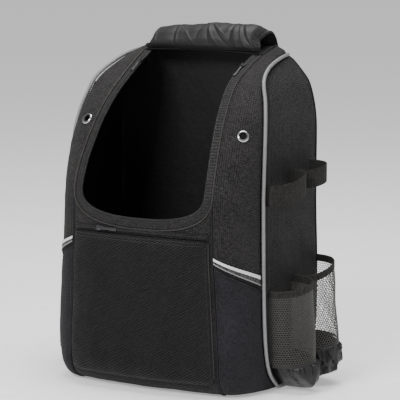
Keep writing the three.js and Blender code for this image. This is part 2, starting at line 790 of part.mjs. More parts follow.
// A zip slider with a flat cord pull, laid on a surface at a point; n points outwards, down along the pull
const SLIDER_WIDE = 8;
const SLIDER_LONG = 10;
const SLIDER_TALL = 3.2;
const PULL_WIDE = 5;
const PULL_LONG = 26;
const PULL_THICK = 1.8;
function slider(at, n, down) {
  const across = down.clone().cross(n).normalize();
  const outline = [
    [-SLIDER_WIDE / 2, 0],
    [-SLIDER_WIDE / 2, SLIDER_LONG * 0.75],
    [-PULL_WIDE / 2, SLIDER_LONG],
    [-PULL_WIDE / 2, SLIDER_LONG + PULL_LONG],
    [PULL_WIDE / 2, SLIDER_LONG + PULL_LONG],
    [PULL_WIDE / 2, SLIDER_LONG],
    [SLIDER_WIDE / 2, SLIDER_LONG * 0.75],
    [SLIDER_WIDE / 2, 0],
  ];
  const thick = [SLIDER_TALL, SLIDER_TALL, PULL_THICK, PULL_THICK, PULL_THICK, PULL_THICK, SLIDER_TALL, SLIDER_TALL];
  const place = ([x, y], out) => at.clone()
    .addScaledVector(across, x)
    .addScaledVector(down, y)
    .addScaledVector(n, out);
  const points = [];
  outline.forEach((q) => points.push(place(q, 0)));
  outline.forEach((q, i) => points.push(place(q, thick[i])));
  const quads = [[0, 1, 6, 7], [1, 2, 5, 6], [2, 3, 4, 5]];
  const faces = [];
  for (const [a, b, c, d] of quads) {
    faces.push([a, b, c], [a, c, d], [a + 8, c + 8, b + 8], [a + 8, d + 8, c + 8]);
  }
  for (let i = 0; i < 8; i += 1) {
    const j = (i + 1) % 8;
    faces.push([i, i + 8, j + 8], [i, j + 8, j]);
  }
  return fromLists(points, faces);
}
const SLIDER_LIFT = 0.5;
const pocketSliderLevel = levelAt(0.5, POCKET_TOP + 0.6 + POCKET_TAPE / 2 + 2);
const pocketSliderU = -0.62;
addMesh(
  'pocket_slider',
  slider(
    offBody(pocketSliderU, pocketSliderLevel, SKIN_GAP + TAPE_THICK + SLIDER_LIFT),
    bodyNormal(pocketSliderU, pocketSliderLevel),
    new THREE.Vector3(0.99, -0.14, -0.02).normalize(),
  ),
  COLOURS.metal,
  0.4,
);
for (const side of [-1, 1]) {
  const s = side > 0 ? band[1] : band[band.length - 2];
  const next = side > 0 ? band[3] : band[band.length - 4];
  const along = next.p.clone().sub(s.p).normalize();
  const at = s.p.clone().addScaledVector(s.across, BAND_SIDE - 4.5).addScaledVector(s.n, SLIDER_LIFT);
  const n = along.clone().cross(s.across).normalize();
  if (n.z < 0) n.negate();
  addMesh(`main_slider_${sideName(side)}`, slider(at.addScaledVector(n, 0.6), n, along), COLOURS.metal, 0.4);
}

// Net sleeves with their elastic bindings
function boxSide(side, yMid, half, out, turn, z, lift) {
  const a = turn * Math.PI;
  const y = yMid - half * Math.cos(a);
  const bow = Math.sin(a) ** 0.86;
  return new THREE.Vector3(sideX(side, y, z) + side * (SKIN_GAP + out * bow + lift), y, z);
}
// Share of the drop that is left at a turn: all of it at the front end, none at the rear
const slant = (turn) => (0.5 + 0.5 * Math.cos(turn * Math.PI)) ** 1.6;
const bootTop = (y) => mix(BOOT_TOP_FRONT, BOOT_TOP_BACK, clamp((y + 0.436 * HALF_DEPTH) / (1.38 * HALF_DEPTH), 0, 1));
function sleeveOut(row, z) {
  const [, , , out, outTop, top] = row;
  return mix(out, outTop, clamp((z - BOOT_TOP_BACK) / (top - BOOT_TOP_BACK), 0, 1));
}
function sleevePoint(row, turn, z, inward) {
  const [side, yMid, half] = row;
  return boxSide(side, yMid, half - inward, sleeveOut(row, z) - inward, turn, z, 0);
}
const sleeveTurns = spread(0, 1, 12);
SLEEVES.forEach((row, i) => {
  const [, yMid, half, , , top, drop] = row;
  const low = (turn) => bootTop(yMid - half * Math.cos(turn * Math.PI)) + SEAM_GAP;
  const high = (turn) => top - drop * slant(turn);
  const rowsOf = (inward) => spread(0, 1, 4).map((t) => sleeveTurns.map((turn) => {
    const z = mix(low(turn), high(turn) - BINDING_TALL - SEAM_GAP, t);
    return sleevePoint(row, turn, z, inward);
  }));
  addMesh(`sleeve_${i + 1}`, sheet(rowsOf(0), rowsOf(SLEEVE_WALL)), COLOURS.mesh);
  const ring = (inward) => [BINDING_TALL, 0].map((down) => sleeveTurns.map(
    (turn) => sleevePoint(row, turn, high(turn) - down, inward),
  ));
  addMesh(`binding_${i + 1}`, sheet(ring(-0.5), ring(BINDING_WALL - 0.5)), COLOURS.elastic);
});

// Gathered boots under each pair of sleeves
function bootPoint(side, s, t, inward) {
  const [front, rear] = SLEEVES.filter((r) => r[0] === side);
  const lobe = s <= 1 ? front : rear;
  const turn = s <= 1 ? s : s - 1;
  const a = turn * Math.PI;
  const [, yMid, half, out] = lobe;
  const inner = (s <= 1 && turn > 0.5) || (s > 1 && turn < 0.5);
  const bow = inner ? Math.max(Math.sin(a) ** 0.86, 0.42) : Math.sin(a) ** 0.86;
  const share = rowAt(BOOT_PROFILE, 1, t * (BOOT_PROFILE.length - 1));
  const down = rowAt(BOOT_PROFILE, 0, t * (BOOT_PROFILE.length - 1));
  const y = yMid - (half - inward) * Math.cos(a) * (0.25 + 0.75 * Math.min(share + 0.12, 1.02));
  const top = bootTop(yMid - half * Math.cos(a));
  const foot = BOOT_FLOOR + (inward > 0 ? BOOT_WALL : 0);
  const z = mix(top, foot, down);
  const clear = corner(1, levelAt(2, Math.max(z, 1))).y + 2 * PIPING_R + 4 + inward;
  let out2 = (out - inward) * bow * share;
  const fade = Math.sin(Math.PI * clamp(1.25 * t, 0, 1)) * Math.sin(a) ** 0.5;
  out2 += GATHER_DEEP * Math.sin(2 * Math.PI * GATHERS * turn) * fade;
  for (const [fy, ft, fw, high] of BOOT_FOLDS) {
    out2 += high * bump((s / 2 - fy + 0.25 * (t - ft)) / fw) * bump((t - ft) / 0.42) * Math.sin(a) ** 0.4;
  }
  const yIn = Math.max(y, clear);
  // Near the floor the boot stays outside the piping along the foot of the side panel
  out2 = Math.max(out2, (2 * PIPING_R + 1.8) * clamp((14 - z) / 6, 0, 1));
  return new THREE.Vector3(sideX(side, yIn, Math.max(z, 6)) + side * (SKIN_GAP + Math.max(out2, 0)), yIn, z);
}
for (const side of [-1, 1]) {
  const ss = [...spread(0, 1, 12), ...spread(1.0001, 2, 12)];
  const ts = spread(0, 1, 6);
  const rowsOf = (inward) => ts.map((t) => ss.map((s) => bootPoint(side, s, t, inward)));
  addMesh(`boot_${sideName(side)}`, sheet(rowsOf(0), rowsOf(BOOT_WALL)), COLOURS.nylon, 0.5);
}

// Elastic bands with a loop above each sleeve
for (const side of [-1, 1]) {
  LOOPS.filter((r) => r[0] === side).forEach((row, i) => {
    const [, yMid, half, out, low, tall, drop] = row;
    const ring = (inward) => [low, low + tall].map((z) => spread(0, 1, 14).map(
      (turn) => boxSide(side, yMid, half - inward, out - inward, turn, z - drop * slant(turn), 0),
    ));
    addMesh(`bat_loop_${sideName(side)}_${i + 1}`, sheet(ring(0), ring(LOOP_WALL)), COLOURS.elastic);
  });
}

// Flap
function flapPath(t) {
  const rows = FLAP_PATH;
  const place = t * (rows.length - 1);
  return [rowAt(rows, 0, place), rowAt(rows, 1, place)];
}
function flapPoint(s, t, drop) {
  const [y, z] = flapPath(t);
  const [y0, z0] = flapPath(Math.max(t - 0.01, 0));
  const [y1, z1] = flapPath(Math.min(t + 0.01, 1));
  const size = Math.hypot(y1 - y0, z1 - z0);
  // Outward is away from the bag: up at the ridge, back behind it
  const ny = (z0 - z1) / size;
  const nz = (y1 - y0) / size;
  const rise = bump((t - 0.3) / 0.32);
  const lift = keyAt(FLAP_RIDGE, s, 1) * rise;
  const end = clamp((t - 0.80) / 0.20, 0, 1);
  const narrow = 1 - (1 - Math.sqrt(Math.max(1 - end * end, 0))) * (FLAP_CORNER / FLAP_HALF);
  let fold = 0;
  for (const [fx, slant, wide, high] of FLAP_FOLDS) {
    fold += high * bump((s - fx - slant * (t - 0.35)) / (wide * 2)) * bump((t - 0.42) / 0.45);
  }
  const out = fold - drop;
  const mouth = 1 - FLAP_MOUTH * bump((t - 0.2) / 0.16) * clamp(s, 0, 1) ** 4;
  return new THREE.Vector3(s * FLAP_HALF * narrow * mouth, y + ny * out, z + nz * out + lift);
}
const flapS = spread(-1, 1, 13);
const flapT = spread(0, 1, 17);
addMesh(
  'flap',
  sheet(
    flapT.map((t) => flapS.map((s) => flapPoint(s, t, 0))),
    flapT.map((t) => flapS.map((s) => flapPoint(s, t, FLAP_WALL))),
  ),
  COLOURS.lining,
  0.45,
);

// Padded back
function padPoint(s, t, front) {
  const edge = (1 - Math.abs(s) ** 6) * (1 - Math.abs(2 * t - 1) ** 10);
  const z = mix(BACK_PAD_LOW, BACK_PAD_HIGH, t);
  const x = s * BACK_PAD_HALF;
  const y = HALF_DEPTH + SKIN_GAP + (front ? 0 : 1.2 + (BACK_PAD_THICK - 1.2) * edge ** 0.5);
  return new THREE.Vector3(x, y, z);
}
const padS = [-1, -0.9, -0.4, 0.4, 0.9, 1];
const padT = [0, 0.04, 0.3, 0.7, 0.96, 1];
addMesh(
  'back_pad',
  sheet(
    padT.map((t) => padS.map((s) => padPoint(s, t, false))),
    padT.map((t) => padS.map((s) => padPoint(s, t, true))),
  ),
  COLOURS.pad,
);

// Shoulder straps
function strapFrame(t) {
  const place = t * (STRAP.length - 1);
  return {
    z: rowAt(STRAP, 0, place),
    x: rowAt(STRAP, 1, place),
    half: rowAt(STRAP, 2, place),
    off: rowAt(STRAP, 3, place),
  };
}
function strapPoint(side, s, t, outer) {
  const f = strapFrame(t);
  const g = strapFrame(Math.max(t - 0.01, 0));
  const h = strapFrame(Math.min(t + 0.01, 1));
  const size = Math.hypot(h.off - g.off, h.z - g.z);
  const ny = (g.z - h.z) / size;
  const nz = (h.off - g.off) / size;
  const soft = 1 - Math.abs(s) ** 4 * 0.55;
  const ends = 1 - 0.6 * (Math.abs(2 * t - 1) ** 14);
  const out = outer ? STRAP_THICK * soft * ends : 0;
  return new THREE.Vector3(side * (f.x + s * f.half), HALF_DEPTH + f.off + ny * out, f.z + nz * out);
}
for (const side of [-1, 1]) {
  const ss = [-1, -0.8, 0, 0.8, 1];
  const ts = spread(0, 1, 18);
  addMesh(
    `shoulder_strap_${sideName(side)}`,
    sheet(
      ts.map((t) => ss.map((s) => strapPoint(side, s, t, true))),
      ts.map((t) => ss.map((s) => strapPoint(side, s, t, false))),
    ),
    COLOURS.pad,
  );
  // Adjuster frame at the foot of the strap
  const foot = STRAP[STRAP.length - 1];
  const lockTop = foot[0] - 3;
  const lockY = HALF_DEPTH + foot[3] + 1.5;
  const block = (wide, deep, tall, z) => {
    const box = new THREE.BoxGeometry(wide, deep, tall);
    box.translate(side * foot[1], lockY + LOCK_THICK / 2, z);
    return toManifold(weld(box));
  };
  let lock = block(2 * LOCK_HALF, LOCK_THICK, LOCK_TALL, lockTop - LOCK_TALL / 2);
  for (const drop of LOCK_SLOTS) {
    lock = lock.subtract(block(2 * (WEB_HALF + 0.9), LOCK_THICK * 3, LOCK_SLOT_TALL, lockTop - drop));
  }
  addMesh(`ladder_lock_${sideName(side)}`, fromManifold(lock), COLOURS.metal, 0.5);
  // Webbing from the foot of the bag up through the adjuster, its end hanging free
  const anchorX = WEB_ANCHOR;
  const slotZ = lockTop - LOCK_SLOTS[0];
  const web = [
    [anchorX, HALF_DEPTH + 1.2, WEB_FOOT[0] * HEIGHT],
    [anchorX - 2, HALF_DEPTH + 3.5, WEB_FOOT[1] * HEIGHT],
    [mix(anchorX, foot[1], 0.55), HALF_DEPTH + WEB_SLACK, WEB_FOOT[2] * HEIGHT],
    [foot[1] + 4, lockY - 3.4, lockTop - LOCK_TALL - 1],
    [foot[1], lockY - 2.2, slotZ - 5],
    [foot[1], lockY - 1.3, slotZ],
    [foot[1], lockY + LOCK_THICK + 1.3, slotZ],
    [foot[1], lockY + LOCK_THICK + 2.2, slotZ - 5],
    [foot[1] - 1, lockY + LOCK_THICK + 4.5, lockTop - 0.42 * WEB_TAIL],
    [foot[1] - 4, lockY + LOCK_THICK + 5.5, lockTop - WEB_TAIL],
  ];
  const stations = web.map(([x, y, z], i) => {
    const a = web[Math.max(i - 1, 0)];
    const b = web[Math.min(i + 1, web.length - 1)];
    const t = new THREE.Vector3(side * (b[0] - a[0]), b[1] - a[1], b[2] - a[2]).normalize();
    const across = new THREE.Vector3(1, 0, 0).addScaledVector(t, -t.x).normalize();
    const n = t.clone().cross(across).normalize();
    const p = new THREE.Vector3(side * x, y, z);
    return {
      a0: p.clone().addScaledVector(across, -WEB_HALF).addScaledVector(n, -WEB_THICK / 2),
      a1: p.clone().addScaledVector(across, -WEB_HALF).addScaledVector(n, WEB_THICK / 2),
      b0: p.clone().addScaledVector(across, WEB_HALF).addScaledVector(n, -WEB_THICK / 2),
      b1: p.clone().addScaledVector(across, WEB_HALF).addScaledVector(n, WEB_THICK / 2),
    };
  });
  addMesh(`strap_webbing_${sideName(side)}`, ribbon(stations), COLOURS.webbing);
}

// Haul loop under the flap
const HAUL_HALF = 26;
const HAUL_OUT = 9;
const HAUL_Z = 0.904 * HEIGHT;
const HAUL_TALL = 11;
const haul = spread(-1, 1, 12).map((s) => {
  const y = HALF_DEPTH + SKIN_GAP + 0.2 + HAUL_OUT * (1 - Math.abs(s) ** 3.2);
  return { x: s * HAUL_HALF, y };
});
addMesh(
  'haul_loop',
  ribbon(haul.map(({ x, y }) => ({
    a0: new THREE.Vector3(x, y, HAUL_Z - HAUL_TALL),
    a1: new THREE.Vector3(x, y + WEB_THICK, HAUL_Z - HAUL_TALL),
    b0: new THREE.Vector3(x, y, HAUL_Z + HAUL_TALL),
    b1: new THREE.Vector3(x, y + WEB_THICK, HAUL_Z + HAUL_TALL),
  }))),
  COLOURS.webbing,
);

export default GROUP;
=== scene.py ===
# Looks of the baseball bat backpack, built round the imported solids. Lengths in the tables are millimetres.
import math

import bmesh
import bpy
import numpy as np
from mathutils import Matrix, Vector


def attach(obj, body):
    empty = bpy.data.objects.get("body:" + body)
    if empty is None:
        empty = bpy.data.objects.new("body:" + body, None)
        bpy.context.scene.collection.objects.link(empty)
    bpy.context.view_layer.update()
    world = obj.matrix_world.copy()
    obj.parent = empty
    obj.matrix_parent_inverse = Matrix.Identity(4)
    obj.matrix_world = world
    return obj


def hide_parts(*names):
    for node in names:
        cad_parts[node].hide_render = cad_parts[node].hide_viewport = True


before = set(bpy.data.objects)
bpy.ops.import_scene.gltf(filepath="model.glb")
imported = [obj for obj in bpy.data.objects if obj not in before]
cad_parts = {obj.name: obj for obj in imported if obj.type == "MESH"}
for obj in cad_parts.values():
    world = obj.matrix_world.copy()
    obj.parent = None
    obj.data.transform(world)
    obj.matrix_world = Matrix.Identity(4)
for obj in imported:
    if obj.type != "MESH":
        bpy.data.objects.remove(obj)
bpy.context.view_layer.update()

MM = 0.001
TAU = 2 * math.pi
SIN_60 = 0.866
ACROSS = np.array([1.0, 0.0, 0.0])
BACKWARD = np.array([0.0, 1.0, 0.0])
UPWARD = np.array([0.0, 0.0, 1.0])

# Camera, matched to the photograph
CAMERA_AZIMUTH = math.radians(30.0)
CAMERA_ELEVATION = math.radians(8.5)
CAMERA_DISTANCE = 3.2
PIXELS_PER_METRE = 667.0
IMAGE_PIXELS = 400.0
SENSOR = 36.0
AIM = Vector((0.0, 0.0, 0.25))
AIM_PIXEL = (181.0, 212.0)
WORLD_LIGHT = 0.4
FLOOR_LIGHT = 0.34

# Named sizes shared with the solids
HALF_WIDTH = 172.0
HALF_DEPTH = 110.0
HEIGHT = 500.0
WALL = 1.8
SKIN_GAP = 0.4
FRONT_BULGE = 9.0
SIDE_BULGE = 3.0
U_TOP_Z = 300.0
U_BOTTOM_Z = 241.0
U_POWER = 2.7
HINGE_LEVEL = 15.05
BAND_SIDE = 13.0
BAND_BOTTOM = 16.0
PIPING_R = 2.7

# Body sections: rimX, rimY, rimZ, pipeX, pipeY, pipeZ, backX, backY, backZ as shares of the named sizes
BODY = np.array([
    [0.709, -0.709, 0.000, 0.948, 0.091, 0.000, 0.948, 0.927, 0.000],
    [0.721, -0.864, 0.010, 0.962, -0.036, 0.009, 0.965, 0.977, 0.008],
    [0.733, -0.955, 0.030, 0.977, -0.182, 0.028, 0.983, 0.995, 0.026],
    [0.738, -1.000, 0.064, 0.988, -0.345, 0.060, 0.994, 1.000, 0.060],
    [0.733, -1.009, 0.120, 0.994, -0.455, 0.116, 1.000, 1.000, 0.116],
    [0.721, -1.009, 0.200, 0.988, -0.500, 0.200, 1.006, 1.000, 0.200],
    [0.703, -1.009, 0.320, 0.965, -0.482, 0.320, 1.006, 1.000, 0.320],
    [0.686, -1.009, 0.440, 0.939, -0.423, 0.440, 1.006, 1.000, 0.440],
    [0.680, -1.005, 0.560, 0.927, -0.386, 0.560, 1.006, 1.000, 0.560],
    [0.673, -0.925, 0.640, 0.933, -0.382, 0.640, 1.006, 1.000, 0.640],
    [0.652, -0.768, 0.720, 0.935, -0.366, 0.720, 1.003, 1.000, 0.720],
    [0.629, -0.577, 0.790, 0.912, -0.279, 0.790, 0.994, 1.000, 0.788],
    [0.602, -0.340, 0.850, 0.870, -0.165, 0.850, 0.965, 1.000, 0.846],
    [0.576, -0.070, 0.900, 0.817, -0.052, 0.897, 0.919, 1.000, 0.894],
    [0.574, 0.242, 0.940, 0.762, 0.218, 0.934, 0.843, 1.000, 0.928],
    [0.587, 0.573, 0.972, 0.738, 0.545, 0.956, 0.779, 1.000, 0.952],
    [0.599, 0.964, 0.994, 0.721, 0.936, 0.968, 0.733, 1.000, 0.964],
])
BODY_MM = BODY * np.array([HALF_WIDTH, HALF_DEPTH, HEIGHT] * 3)
LAST = len(BODY) - 1

# Slanting seam of each gusset: height at the front seam and at the piping
GUSSET_SEAM = {-1: (210.0, 172.0), 1: (197.0, 157.0)}
# Eyelet of each side: height and share of the way across the gusset
EYELETS = {-1: (390.0, 0.22), 1: (379.0, 0.445)}
EYELET_BARREL_R = 5.9
EYELET_CUT_R = 6.6

# Net sleeves: side, middle y, half length, stand-off at the foot and at the top, top at the rear,
# drop to the front
SLEEVE_SHARES = [
    (-1, 0.1091, 0.2818, 0.2558, 0.2326, 0.336, 0.032),
    (-1, 0.6909, 0.2636, 0.2791, 0.2558, 0.36, 0.036),
    (1, -0.0545, 0.3, 0.3198, 0.2907, 0.336, 0.032),
    (1, 0.6, 0.3182, 0.3314, 0.2616, 0.374, 0.044),
]
SLEEVE_UNITS = np.array([1, HALF_DEPTH, HALF_DEPTH, HALF_WIDTH, HALF_WIDTH, HEIGHT, HEIGHT])
SLEEVES = [(row[0], *(np.array(row) * SLEEVE_UNITS)[1:].tolist()) for row in SLEEVE_SHARES]
BINDING_TALL = 11.0
# Elastic loops: side, middle y, half length, stand-off, foot at the rear, height, drop to the front
LOOP_SHARES = [
    (-1, 0.1091, 0.2727, 0.1977, 0.584, 0.062, 0.036),
    (-1, 0.6909, 0.2636, 0.2326, 0.608, 0.054, 0.024),
    (1, -0.0364, 0.2727, 0.2384, 0.584, 0.062, 0.036),
    (1, 0.5182, 0.2455, 0.2442, 0.609, 0.054, 0.024),
]
LOOP_UNITS = np.array([1, HALF_DEPTH, HALF_DEPTH, HALF_WIDTH, HEIGHT, HEIGHT, HEIGHT])
LOOPS = [(row[0], *(np.array(row) * LOOP_UNITS)[1:].tolist()) for row in LOOP_SHARES]
BOOT_TOP_FRONT = 37.0
BOOT_TOP_BACK = 68.0
BOOT_FLOOR = 1.6
# Boot's profile; columns: share of the way down, share of the stand-off
BOOT_PROFILE = np.array([
    [0.00, 1.00],
    [0.28, 1.06],
    [0.58, 1.05],
    [0.82, 0.92],
    [0.96, 0.66],
    [1.00, 0.30],
    [1.00, 0.03],
])
POCKET_TOP = 231.4
POCKET_BOTTOM = 22.0
POCKET_OUT = 15.0
POCKET_TAPE = 8.2
POCKET_HALF_SHARE = 0.955
# Dents of the pocket; columns: place across, place up, reach, depth
POCKET_DENTS = [
    (-0.45, 0.72, 0.35, 2.2),
    (0.30, 0.55, 0.40, 2.6),
    (-0.05, 0.25, 0.30, 1.8),
    (0.62, 0.30, 0.28, 1.6),
]
# Flap's path from its hinge over the top and down the back; columns: y, z
FLAP_PATH = np.array([
    [65.0, 490.0],
    [60.5, 497.0],
    [60.0, 507.0],
    [67.0, 519.0],
    [82.0, 526.5],
    [99.0, 523.0],
    [113.0, 509.0],
    [122.0, 490.0],
    [127.0, 465.0],
    [130.5, 435.0],
    [135.0, 405.0],
    [144.0, 372.0],
    [156.0, 335.0],
    [166.0, 296.0],
])
FLAP_HALF = 99.0
FLAP_CORNER = 46.0
# Line of the flap's ridge; columns: place across, lift
FLAP_RIDGE = np.array([
    [-1.00, -17.0],
    [-0.86, -7.0],
    [-0.55, -3.0],
    [-0.20, 0.0],
    [0.27, 3.0],
    [0.62, 2.0],
    [1.00, 0.0],
])
BACK_PAD_THICK = 8.0
BACK_PAD_HALF = 72.0
BACK_PAD_LOW = 60.0
BACK_PAD_HIGH = 396.0
BACK_PAD_TALL = BACK_PAD_HIGH - BACK_PAD_LOW
STRAP_THICK = 11.0
LOCK_HALF = 16.5
LOCK_TALL = 22.0
LOCK_OUT = 2.5
# Shoulder strap; columns: height, middle across, half width, stand-off from the back
STRAP = np.array([
    [476, 54, 24, 0.9],
    [450, 57, 26, 0.9],
    [420, 62, 28, 2.5],
    [396, 67, 29, 9.2],
    [365, 74, 30, 18],
    [325, 84, 31, 30],
    [285, 93, 31, 41],
    [240, 101, 31, 48],
    [195, 107, 30, 48],
    [155, 111, 27, 40],
    [122, 114, 20, 28],
], dtype=float)
WEB_HALF = 12.5
WEB_THICK = 1.6
HAUL_HALF = 26.0
HAUL_OUT = 9.0
HAUL_TALL = 22.0
HAUL_Z = 452.0
FACING_SHARE = 0.10


# Numbers
# Row of a table at a place between its rows, on a smooth curve through them
def row_at(rows, place):
    n = len(rows) - 1
    s = np.clip(np.asarray(place, float), 0, n)
    i = np.minimum(s.astype(int), n - 1)
    t = (s - i)[..., None]
    p0 = rows[np.maximum(i - 1, 0)]
    p1 = rows[i]
    p2 = rows[i + 1]
    p3 = rows[np.minimum(i + 2, n)]
    return 0.5 * (2 * p1 + (p2 - p0) * t + (2 * p0 - 5 * p1 + 4 * p2 - p3) * t ** 2
                  + (-p0 + 3 * p1 - 3 * p2 + p3) * t ** 3)


def unit(v):
    return v / np.maximum(np.linalg.norm(v, axis=-1, keepdims=True), 1e-9)


def bump(d):
    d = np.abs(d)
    return np.where(d >= 1, 0, (1 - np.minimum(d, 1) ** 2) ** 2)


def smooth(t):
    t = np.clip(t, 0, 1)
    return t * t * (3 - 2 * t)


def mix(a, b, t):
    return a + (b - a) * t


# Places from -1 to 1 that lie closer together toward both edges
def to_edges(count):
    return np.sin(np.linspace(-1, 1, count) * math.pi / 2)


# Sharp folds on a flat cloth; each row has its two ends, its width and its height, steep on one side
def crease_field(px, py, rows):
    total = np.zeros(np.shape(px))
    for ax, ay, bx, by, wide, high in rows:
        dx, dy = bx - ax, by - ay
        k = np.clip(((px - ax) * dx + (py - ay) * dy) / (dx * dx + dy * dy), 0, 1)
        ox, oy = px - ax - k * dx, py - ay - k * dy
        gentle = np.where(ox * dy - oy * dx > 0, 3.2, 1.0)
        fade = smooth(k / 0.10 + 0.25) * (1 - k) ** 0.6
        total += high * np.exp(-np.hypot(ox, oy) / (wide * gentle)) * fade
    return total


# Smooth repeatable noise: sums of sines with fixed directions
def noise_set(seed, count, long, short):
    rng = np.random.default_rng(seed)
    directions = unit(rng.normal(size=(count, 3)))
    lengths = np.exp(rng.uniform(math.log(short), math.log(long), count))
    phases = rng.uniform(0, TAU, count)
    return directions, lengths, phases


def noise(p, spec):
    directions, lengths, phases = spec
    total = np.zeros(p.shape[:-1])
    for d, l, f in zip(directions, lengths, phases):
        total += np.sin(p @ d * (TAU / l) + f)
    return total / math.sqrt(len(lengths))


WARP = [noise_set(11 + k, 6, 260.0, 110.0) for k in range(3)]
WARP_SIZE = np.array([0.9, 1.1, 0.5])


# Gentle unevenness that every soft piece shares, so that they stay together
def warp(p):
    lift = smooth(p[..., 2] / 60.0)[..., None]
    d = np.stack([noise(p, w) for w in WARP], -1) * WARP_SIZE
    return p + d * lift


# Body surface: u 0 front middle, 1 front seam, 2 piping, 3 back corner
def body_point(u, level):
    u, level = np.broadcast_arrays(np.asarray(u, float), np.asarray(level, float))
    side = np.where(u < 0, -1.0, 1.0)
    s = np.abs(u)
    row = row_at(BODY_MM, level)
    rim, pipe, back = row[..., 0:3], row[..., 3:6], row[..., 6:9]
    front = np.stack([s * rim[..., 0], rim[..., 1] - FRONT_BULGE * (1 - s * s), rim[..., 2]], -1)
    a = np.clip(s - 1, 0, 1) * math.pi / 2
    turn = np.stack([np.sin(a), 1 - np.cos(a), 1 - np.cos(a)], -1)
    gusset = rim + (pipe - rim) * turn
    t = np.clip(s - 2, 0, 1)[..., None]
    flank = pipe + (back - pipe) * t
    flank[..., 0] += SIDE_BULGE * np.sin(math.pi * t[..., 0])
    p = np.where((s <= 1)[..., None], front, np.where((s <= 2)[..., None], gusset, flank)).copy()
    p[..., 0] *= side
    return p


def body_normal(u, level):
    u, level = np.broadcast_arrays(np.asarray(u, float), np.asarray(level, float))
    side = np.where(u < 0, -1.0, 1.0)
    s = np.clip(np.abs(u), 0.01, 2.98)
    l = np.clip(level, 0.02, LAST - 0.02)
    du = (body_point(side * (s + 0.01), l) - body_point(side * (s - 0.01), l)) * side[..., None]
    dl = body_point(side * s, l + 0.02) - body_point(side * s, l - 0.02)
    return unit(np.cross(du, dl))


def off_body(u, level, out):
    return body_point(u, level) + body_normal(u, level) * np.asarray(out, float)[..., None]


# Level at which the body's surface has the height z
def level_at(u, z):
    u, z = np.broadcast_arrays(np.asarray(u, float), np.asarray(z, float))
    lo = np.zeros(u.shape)
    hi = np.full(u.shape, float(LAST))
    for _ in range(32):
        mid = (lo + hi) / 2
        below = body_point(u, mid)[..., 2] < z
        lo = np.where(below, mid, lo)
        hi = np.where(below, hi, mid)
    return (lo + hi) / 2


# Where the side panel stands at a given y and z
def side_x(side, y, z):
    level = level_at(2.4, z)
    row = row_at(BODY_MM, level)
    pipe, back = row[..., 3:6], row[..., 6:9]
    t = np.clip((y - pipe[..., 1]) / (back[..., 1] - pipe[..., 1]), 0, 1)
    return side * (mix(pipe[..., 0], back[..., 0], t) + SIDE_BULGE * np.sin(math.pi * t))


# Height of the opening's lower edge, a superellipse
def opening_z(s):
    t = np.clip(np.abs(s), 0, 1) ** U_POWER
    return U_TOP_Z - (U_TOP_Z - U_BOTTOM_Z) * (1 - t) ** (1 / U_POWER)


def side_name(side):
    return "left" if side < 0 else "right"


# Materials
class Nodes:
    def __init__(self, name):
        self.mat = bpy.data.materials.new(name)
        self.mat.use_nodes = True
        self.tree = self.mat.node_tree
        self.shader = self.tree.nodes["Principled BSDF"]
        self.uv = self.tree.nodes.new("ShaderNodeUVMap")
        self.uv.uv_map = "UVMap"
        self.place = self.tree.nodes.new("ShaderNodeTexCoord")

    def link(self, a, b):
        self.tree.links.new(a, b)

    def math(self, op, a, b=None, c=None):
        n = self.tree.nodes.new("ShaderNodeMath")
        n.operation = op
        for i, v in enumerate((a, b, c)):
            if v is None:
                continue
            if isinstance(v, (int, float)):
                n.inputs[i].default_value = v
            else:
                self.link(v, n.inputs[i])
        return n.outputs[0]

    def split_uv(self):
        n = self.tree.nodes.new("ShaderNodeSeparateXYZ")
        self.link(self.uv.outputs[0], n.inputs[0])
        return n.outputs[0], n.outputs[1]

    def wave(self, coordinate, pitch):
        turned = self.math("MULTIPLY_ADD", coordinate, TAU / (pitch * MM), 0.0)
        return self.math("SINE", turned)

    def noise(self, scale, detail=3.0, rough=0.55):
        n = self.tree.nodes.new("ShaderNodeTexNoise")
        n.inputs["Scale"].default_value = scale
        n.inputs["Detail"].default_value = detail
        n.inputs["Roughness"].default_value = rough
        self.link(self.place.outputs["Object"], n.inputs["Vector"])
        return n.outputs["Fac"]

    def ramp(self, fac, stops):
        n = self.tree.nodes.new("ShaderNodeValToRGB")
        while len(n.color_ramp.elements) < len(stops):
            n.color_ramp.elements.new(0.5)
        for e, (at, colour) in zip(n.color_ramp.elements, stops):
            e.position = at
            e.color = (*colour, 1.0)
        self.link(fac, n.inputs[0])
        return n.outputs[0]

    def bump(self, height, strength, distance, below=None):
        n = self.tree.nodes.new("ShaderNodeBump")
        n.inputs["Strength"].default_value = strength
        n.inputs["Distance"].default_value = distance * MM
        self.link(height, n.inputs["Height"])
        if below is not None:
            self.link(below, n.inputs["Normal"])
        return n.outputs[0]


SHEEN_ROUGH = 0.5


def shade(colour, k):
    return tuple(min(1.0, c * k) for c in colour)


